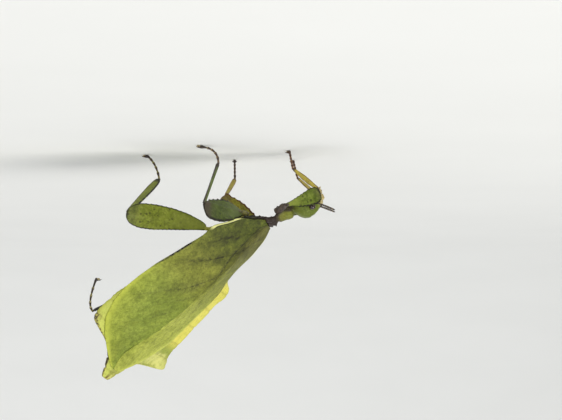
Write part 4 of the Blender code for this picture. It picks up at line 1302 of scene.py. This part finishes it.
def thigh_finish(name, base, tip, edge, fleck, pale, knee_share=0.25):
    made = Finish(name, roughness=0.55, gloss=0.25)
    along, reach = made.mark("along"), made.mark("reach")
    drift = made.times(made.sum("SUBTRACT", made.noise(3.0, 3), 0.5), 0.3)
    paint = made.mix(made.ramp(made.sum("ADD", along, drift), 0.72, 1.0), base, tip)
    blotch = made.ramp(made.noise(1.5, 5, 0.65), 0.42, 0.6)
    paint = made.mix(made.times(blotch, 0.45), paint, made.mix(1.0, paint, linear(156, 160, 120), "MULTIPLY"))
    light = made.ramp(made.noise(0.9, 4, 0.6), 0.48, 0.62)
    paint = made.mix(made.times(light, 0.4), paint, pale)
    small = made.ramp(made.noise(0.4, 4, 0.65), 0.46, 0.6)
    paint = made.mix(made.times(small, 0.4), paint, made.mix(1.0, paint, linear(150, 146, 110), "MULTIPLY"))
    spots = made.ramp(made.cells(1.0, "F1", wobble=0.4), 0.36, 0.2)
    dots = made.times(spots, made.ramp(made.noise(1.2, 2), 0.4, 0.52))
    paint = made.mix(made.times(dots, 0.8), paint, fleck)
    paint = made.mix(made.times(made.mark("rib"), 0.14), paint, fleck)
    # A faint pale line along the strut: a painted highlight.
    paint = made.mix(made.times(made.mark("rod"), 0.05), paint, pale)
    # Paler towards the root: partly the thigh's own paler colour and partly painted light over the shade that
    # falls there under the wing.
    root = made.times(made.ramp(along, 0.55, 0.15), made.ramp(reach, 0.95, 0.6))
    paint = made.mix(made.times(root, 0.6), paint, pale)
    knee = made.times(
        made.ramp(made.sum("ADD", along, made.times(drift, 0.15)), 0.8, 0.9),
        made.ramp(made.noise(0.9, 4, 0.65), 0.3, 0.6, 0.4, 1.0),
    )
    paint = made.mix(made.times(knee, knee_share), paint, linear(84, 66, 62))
    line = made.mark("edge")
    gaps = made.ramp(made.noise(1.3, 2), 0.3, 0.45)
    paint = made.mix(made.times(line, gaps), paint, edge)
    ends = made.ramp(along, 0.965, 0.99)
    paint = made.mix(made.times(ends, 0.8), paint, edge)
    made.colour(paint)
    made.bump(made.cells(0.55, wobble=0.3), 0.03, 0.35)
    made.bump(made.noise(0.25, 3), 0.05, 0.45)
    return made.material


class LEAFINSECT_OT_thighs(bpy.types.Operator):
    """Add the six leaf-lobed thighs and the short joints that carry them"""

    bl_idname = "leafinsect.thighs"
    bl_label = "Thighs"

    def execute(self, context):
        look = settings()
        hind, mid = tuple(look.thigh_green), tuple(look.mid_thigh_green)
        black = linear(30, 26, 16)
        finishes = {
            "hind": thigh_finish(
                "hind thigh", hind, linear(112, 124, 48), black, linear(64, 64, 24), linear(146, 152, 64),
            ),
            "mid": thigh_finish(
                "middle thigh", mid, linear(82, 84, 48), black, linear(38, 42, 22), linear(112, 122, 72), 0.7,
            ),
            "fore": thigh_finish(
                "fore thigh", linear(104, 120, 38), linear(90, 102, 34), black, linear(56, 60, 22),
                linear(142, 150, 64),
            ),
            "far": thigh_finish(
                "far middle thigh", linear(150, 144, 42), linear(140, 120, 44), linear(92, 60, 24),
                linear(104, 88, 34), linear(176, 168, 66),
            ),
        }
        joints = {
            "fore": joint_finish("fore hip", linear(44, 34, 28), linear(78, 62, 46)),
            "mid": joint_finish("middle hip", linear(78, 70, 42), linear(130, 124, 56)),
            "hind": joint_finish("hind hip", linear(140, 142, 46), linear(176, 170, 72)),
        }
        sizes = {"fore": 110, "mid": 120, "hind": 190}
        for name in LEGS:
            kind = name.split("_")[0]
            mesh = leaf_mesh(f"{name}_thigh", 44, sizes[kind], thigh_shape(name))
            look_of = "far" if name == "mid_right" else kind
            add_piece(f"{name}_thigh", mesh, [finishes[look_of]], [f"{name}_femur"])
            mesh = hip_mesh(name)
            add_piece(f"{name}_hip", mesh, [joints[kind]], [f"{name}_coxa"])
        return {"FINISHED"}


def joint_finish(name, dark, pale):
    made = Finish(name, roughness=0.45)
    paint = made.mix(made.ramp(made.noise(0.8, 5, 0.6), 0.35, 0.65), dark, pale)
    made.colour(paint)
    made.bump(made.noise(0.2, 3), 0.05, 0.5)
    made.bump(made.cells(0.45, "F1"), 0.12, 0.8)
    return made.material


def hip_mesh(name):
    """The coxa, sunk into the body, and the small trochanter at the thigh's base."""
    kind = name.split("_")[0]
    root, start, knee, _, _, lobe_up = leg_points(name)
    direction = unit(start - root)
    onward = unit(knee - start)
    length = np.linalg.norm(start - root)
    half = {"fore": 0.62, "mid": 0.55, "hind": 1.0}[kind]
    up = np.array([0.0, 0.0, 1.0]) if abs(direction[2]) < 0.9 else np.array([1.0, 0.0, 0.0])
    made = bmesh.new()
    stations = []
    for k, share in enumerate(np.linspace(-0.35, 1.02, 12)):
        size = float(
            np.interp(share, (-0.35, 0.0, 0.3, 0.6, 0.8, 0.93, 1.02), (1.0, 1.12, 1.1, 1.02, 0.94, 0.8, 0.5))
        )
        size *= 1.0 + 0.09 * math.sin(k * 2.3)
        sway = up * 0.08 * math.sin(k * 1.7)
        stations.append(
            (root + direction * length * share + sway, direction, up, half * size * 1.1, half * size)
        )
    grow(made, stations, 20)
    stations = []
    for far, size in (
        (-0.45, 0.3), (-0.38, 0.55), (-0.15, 0.75), (0.1, 0.74), (0.35, 0.66), (0.7, 0.72), (0.95, 0.62),
        (1.15, 0.3),
    ):
        stations.append((start + onward * far, onward, lobe_up, 0.62 * size, 0.6 * size))
    grow(made, stations, 18)
    return finish_rod(made, f"{name}_hip")


def shin_mesh(name):
    """The shin: a rounded head set in the thigh's end, and a rod ridged like a blade."""
    kind = name.split("_")[0]
    _, start, knee, ankle, _, lobe_up = leg_points(name)
    direction = unit(ankle - knee)
    fold = unit(knee - start) + lobe_up * 0.2
    up = unit(fold - direction * np.dot(direction, fold))
    length = np.linalg.norm(ankle - knee)
    table = TIBIA_SECTIONS[kind]
    made = bmesh.new()
    stations, shares = [], []
    places = sorted({0.0, 0.01, 0.025, 0.97, 0.985, 1.0} | set(np.linspace(0.04, 0.96, 44)))
    for share in places:
        high = float(eased(table, share, 0.04, 1))
        wide = float(eased(table, share, 0.04, 2))
        close = min(1.0, (share + 0.004) / 0.03, (1.004 - share) / 0.03) ** 0.5
        curve = 0.25 * math.sin(math.pi * share) * (1 if kind == "hind" else 0.5)
        centre = knee + direction * (length * share - 0.1) - up * curve * 0.3
        stations.append((centre, direction, up, high * close, wide * close))
        shares.append(share)
    grow(made, stations, 20, marks=shares)
    ring = made.verts.layers.float["along"]
    across = made.verts.layers.float.new("reach")
    for vert in made.verts:
        share = vert[ring]
        centre = knee + direction * (length * share - 0.1)
        high = max(float(eased(table, share, 0.04, 1)), 0.05)
        vert[across] = float(np.dot(np.array(vert.co) - centre, up)) / high
    return finish_rod(made, f"{name}_shin")


def shin_finish(name, base, edge, end, fleck, wide_edge):
    made = Finish(name, roughness=0.45)
    along, reach = made.mark("along"), made.mark("reach")
    blotch = made.ramp(made.noise(0.9, 5, 0.65), 0.35, 0.68)
    paint = made.mix(made.times(blotch, 0.5), base, made.mix(1.0, base, linear(170, 170, 110), "MULTIPLY"))
    dots = made.ramp(made.cells(0.7, "F1", wobble=0.3), 0.26, 0.12)
    paint = made.mix(made.times(dots, 0.7), paint, fleck)
    line = made.ramp(made.sum("ABSOLUTE", reach), 1.0 - wide_edge, 1.0 - wide_edge * 0.45)
    gaps = made.ramp(made.noise(0.9, 2), 0.28, 0.42)
    paint = made.mix(made.times(line, gaps), paint, edge)
    dark_end = made.ramp(along, 0.86, 0.95)
    paint = made.mix(made.times(dark_end, 0.92), paint, end)
    knee = made.ramp(along, 0.09, 0.03)
    paint = made.mix(made.times(knee, 0.8), paint, end)
    made.colour(paint)
    made.bump(made.noise(0.18, 3), 0.05, 0.45)
    return made.material


class LEAFINSECT_OT_shins(bpy.types.Operator):
    """Add the six shins"""

    bl_idname = "leafinsect.shins"
    bl_label = "Shins"

    def execute(self, context):
        black = linear(26, 20, 14)
        finishes = {
            "hind": shin_finish("hind shin", linear(126, 134, 52), black, black, linear(80, 74, 30), 0.42),
            "mid": shin_finish(
                "middle shin", linear(80, 96, 30), linear(44, 34, 16), linear(40, 30, 16), linear(50, 48, 20),
                0.45,
            ),
            "fore": shin_finish(
                "fore shin", linear(182, 164, 62), linear(104, 70, 28), linear(62, 38, 18),
                linear(120, 82, 34), 0.3,
            ),
            "far": shin_finish(
                "far middle shin", linear(176, 160, 50), linear(120, 80, 34), linear(96, 56, 24),
                linear(120, 88, 34), 0.3,
            ),
        }
        for name in LEGS:
            finish = finishes["far" if name == "mid_right" else name.split("_")[0]]
            add_piece(f"{name}_shin", shin_mesh(name), [finish], [f"{name}_tibia"])
        return {"FINISHED"}


def foot_mesh(name):
    """Five foot joints with pads, a soft pad between the claws, and two hooked claws."""
    _, _, knee, ankle, foot, _ = leg_points(name)
    down = unit(foot - ankle)
    standing = foot[2] < 0.01
    end = foot + np.array([0, 0, 0.42 if standing else 0.0])
    shin = unit(ankle - knee)
    start = ankle + shin * 0.02
    ahead = np.array([foot[0] - ankle[0], foot[1] - ankle[1], 0.0])
    length = np.linalg.norm(end - start)
    pull = np.array(FOOT_BENDS.get(name, (start + end) / 2), float)

    def spot(share):
        return (1 - share) ** 2 * start + 2 * share * (1 - share) * pull + share**2 * end

    made = bmesh.new()
    for k in range(5):
        near, far = FOOT_JOINTS[k], FOOT_JOINTS[k + 1]
        half = TARSUS_HALF * (1.0 if k else 1.05)
        stations, shares = [], []
        profile = [
            (0.0, 0.35), (0.04, 0.6), (0.15, 0.72), (0.5, 0.78), (0.78, 1.0), (0.92, 0.98), (1.0, 0.7),
            (1.04, 0.35),
        ]
        if k == 0:
            profile = [(-0.22, 0.5), (-0.15, 0.85), (0.0, 0.8)] + profile[2:]
        for share, size in profile:
            place = near + (far - near) * share
            along = unit(spot(place + 0.02) - spot(place - 0.02))
            stations.append((spot(place), along, ahead, half * size, half * size))
            shares.append(place)
        grow(made, stations, 14, marks=shares)
        if k < 4:
            pad = spot(near + (far - near) * 0.86) + unit(ahead) * half * 0.55
            ball(made, pad, along, ahead, 0.2, 0.16, 0.24, mark=1.0, along=far, segments=12)
    base = np.array([0, 0, -1.0]) if standing else down
    front = unit(
        ahead - base * np.dot(base, ahead)
    ) if np.linalg.norm(ahead) > 0.01 else np.array([1.0, 0, 0])
    over = np.array([0, 0, 1.0]) if standing else -down
    sideways = np.cross(front, over)
    stations = []
    for far, high, wide in (
        (-0.1, 0.2, 0.2), (0.0, 0.34, 0.34), (0.35, 0.36, 0.4), (0.7, 0.28, 0.36), (0.9, 0.14, 0.2),
    ):
        stations.append((end + front * far, front, over, high, wide))
    grow(made, stations, 14, marks=[0.97] * 5)
    ball(
        made, end + front * 0.95 - over * 0.17, front, over, 0.42, 0.24, 0.36, mark=1.0, along=1.0,
        segments=16,
    )
    for sign in (1, -1):
        stations = []
        for k in range(9):
            turn = k / 8 * 1.5
            centre = end + sideways * sign * (0.26 + 0.3 * math.sin(turn * 0.8))
            centre = centre + front * (0.62 + 0.72 * math.sin(turn)) + over * (
                0.12 - 0.42 * (1 - math.cos(turn))
            )
            heading = front * math.cos(turn) - over * math.sin(turn) * 0.7 + sideways * sign * 0.3
            size = 0.11 * (1 - k / 8) ** 0.7 + 0.012
            stations.append((centre, heading, over, size, size))
        grow(made, stations, 8, mark=2.0, marks=[1.0] * 9)

    def flatten(made):
        if standing:
            for vert in made.verts:
                vert.co.z = max(vert.co.z, 0.0)

    return finish_rod(made, f"{name}_foot", flatten)


def foot_finish(name, dark, brown, green):
    made = Finish(name, roughness=0.4)
    along = made.mark("along")
    banded = made.ramp(made.sum("SINE", made.times(along, 2 * math.pi * 5)), -0.2, 0.7)
    paint = made.mix(banded, dark, green)
    paint = made.mix(made.times(made.ramp(made.noise(0.5, 4), 0.35, 0.65), 0.4), paint, brown)
    paint = made.mix(made.ramp(along, 0.72, 0.9), paint, dark)
    kind = made.mark("kind")
    paint = made.mix(
        made.times(made.ramp(kind, 0.4, 0.9), made.ramp(kind, 1.6, 1.1)), paint, linear(168, 152, 112),
    )
    paint = made.mix(made.ramp(kind, 1.4, 1.9), paint, linear(40, 22, 14))
    made.colour(paint)
    made.bump(made.noise(0.15, 3), 0.03, 0.4)
    return made.material


class LEAFINSECT_OT_feet(bpy.types.Operator):
    """Add the six jointed feet with their claws"""

    bl_idname = "leafinsect.feet"
    bl_label = "Feet"

    def execute(self, context):
        dark = linear(44, 30, 20)
        finishes = {
            "hind": foot_finish("hind foot", dark, linear(90, 60, 34), linear(126, 122, 60)),
            "mid": foot_finish("middle foot", dark, linear(84, 54, 30), linear(92, 70, 38)),
            "fore": foot_finish("fore foot", linear(70, 44, 28), linear(110, 74, 46), linear(134, 98, 60)),
        }
        for name in LEGS:
            finish = finishes[name.split("_")[0]]
            add_piece(f"{name}_foot", foot_mesh(name), [finish], [f"{name}_tarsus"])
        return {"FINISHED"}


# Studio


def area_light(name, direction, distance, size, watts, colour=(1.0, 1.0, 1.0)):
    """A soft lamp that faces the insect."""
    target = Vector((0.0, 0.0, 0.025))
    data = bpy.data.lights.new(name, "AREA")
    data.shape = "DISK"
    data.size = size
    data.energy = watts
    data.color = colour
    lamp = bpy.data.objects.new(name, data)
    lamp.location = target + Vector(unit(direction)) * distance
    lamp.rotation_mode = "QUATERNION"
    lamp.rotation_quaternion = (target - lamp.location).to_track_quat("-Z", "Y")
    bpy.context.scene.collection.objects.link(lamp)
    return lamp


def floor_mesh():
    """A floor that sweeps up behind the insect: one edge, extruded along it and round the curve."""
    made = bmesh.new()
    start = bmesh.ops.create_circle(made, segments=4, radius=0.01)["verts"]
    bmesh.ops.delete(made, geom=start[2:], context="VERTS")
    made.verts.ensure_lookup_table()
    made.verts[0].co = (-3.0, 1.2, 0.0)
    made.verts[1].co = (3.0, 1.2, 0.0)
    if not made.edges:
        made.edges.new(made.verts[:2])
    edge = made.edges[:]
    route = [(0.6, 0.0), (0.0, 0.0), (-0.35, 0.0)]
    for k in range(1, 25):
        turn = math.pi / 2 * k / 24
        route.append((-0.35 - 0.7 * math.sin(turn), 0.7 * (1 - math.cos(turn))))
    route.append((-1.05, 2.4))
    before = (1.2, 0.0)
    for y, z in route:
        grown = bmesh.ops.extrude_edge_only(made, edges=edge)["geom"]
        edge = [one for one in grown if isinstance(one, bmesh.types.BMEdge)]
        moved = [one for one in grown if isinstance(one, bmesh.types.BMVert)]
        bmesh.ops.translate(made, verts=moved, vec=(0.0, y - before[0], z - before[1]))
        before = (y, z)
    bmesh.ops.recalc_face_normals(made, faces=made.faces[:])
    mesh = bpy.data.meshes.new("floor")
    made.to_mesh(mesh)
    made.free()
    mesh.shade_smooth()
    return mesh


class LEAFINSECT_OT_studio(bpy.types.Operator):
    """Add the pale floor, the soft lights and the camera"""

    bl_idname = "leafinsect.studio"
    bl_label = "Studio"

    def execute(self, context):
        scene = context.scene
        scene.view_settings.view_transform = "Standard"
        floor = bpy.data.objects.new("floor", floor_mesh())
        scene.collection.objects.link(floor)
        made = Finish("floor", roughness=0.9, gloss=0.1)
        made.colour(made.mix(made.noise(60.0, 2), (0.74, 0.74, 0.72), (0.78, 0.78, 0.76)))
        floor.data.materials.append(made.material)
        world = scene.world or bpy.data.worlds.new("World")
        scene.world = world
        world.use_nodes = True
        back = world.node_tree.nodes["Background"]
        back.inputs["Color"].default_value = (0.93, 0.96, 1.0, 1.0)
        back.inputs["Strength"].default_value = 0.5
        area_light("key", (0.55, 0.6, 0.8), 0.9, 0.7, 5.5, (1.0, 0.98, 0.93))
        area_light("fill", (-0.5, 1.0, 0.25), 1.0, 0.8, 3.5, (0.96, 0.98, 1.0))
        area_light("back", (-0.2, -0.7, 0.8), 1.0, 0.8, 2.5, (1.0, 1.0, 1.0))
        data = bpy.data.cameras.new("camera")
        data.sensor_width = 36.0
        data.lens = 36.0 * FOCAL_PIXELS / PICTURE_WIDE
        data.clip_start, data.clip_end = 0.01, 20.0
        camera = bpy.data.objects.new("camera", data)
        scene.collection.objects.link(camera)
        toward = np.array([0.0, math.cos(CAMERA_RISE), math.sin(CAMERA_RISE)])
        place = to_row(CAMERA_TARGET + toward * CAMERA_DISTANCE)
        up = np.cross(toward, np.array([1.0, 0.0, 0.0]))
        camera.matrix_world = frame_of((1.0, 0.0, 0.0), up, toward, place)
        scene.camera = camera
        return {"FINISHED"}


class LEAFINSECT_PT_panel(bpy.types.Panel):
    """The leaf insect's pieces and settings."""

    bl_idname = "LEAFINSECT_PT_panel"
    bl_label = "Leaf insect"
    bl_space_type = "VIEW_3D"
    bl_region_type = "UI"
    bl_category = "Leaf insect"

    def draw(self, context):
        look = context.scene.leaf_insect
        for name in LeafInsectSettings.__annotations__:
            self.layout.prop(look, name)
        for piece in PIECES:
            self.layout.operator(piece.bl_idname)


PIECES = (
    LEAFINSECT_OT_skin,
    LEAFINSECT_OT_eyes,
    LEAFINSECT_OT_feelers,
    LEAFINSECT_OT_mouth,
    LEAFINSECT_OT_wings,
    LEAFINSECT_OT_thighs,
    LEAFINSECT_OT_shins,
    LEAFINSECT_OT_feet,
    LEAFINSECT_OT_studio,
)
CLASSES = (LeafInsectSettings, *PIECES, LEAFINSECT_PT_panel)


def register():
    for one in CLASSES:
        bpy.utils.register_class(one)
    bpy.types.Scene.leaf_insect = bpy.props.PointerProperty(type=LeafInsectSettings)


def unregister():
    del bpy.types.Scene.leaf_insect
    for one in reversed(CLASSES):
        bpy.utils.unregister_class(one)


def main():
    register()
    bpy.ops.leafinsect.skin()
    bpy.ops.leafinsect.eyes()
    bpy.ops.leafinsect.feelers()
    bpy.ops.leafinsect.mouth()
    bpy.ops.leafinsect.wings()
    bpy.ops.leafinsect.thighs()
    bpy.ops.leafinsect.shins()
    bpy.ops.leafinsect.feet()
    bpy.ops.leafinsect.studio()
    bpy.context.view_layer.update()


if __name__ == "__main__":
    main()
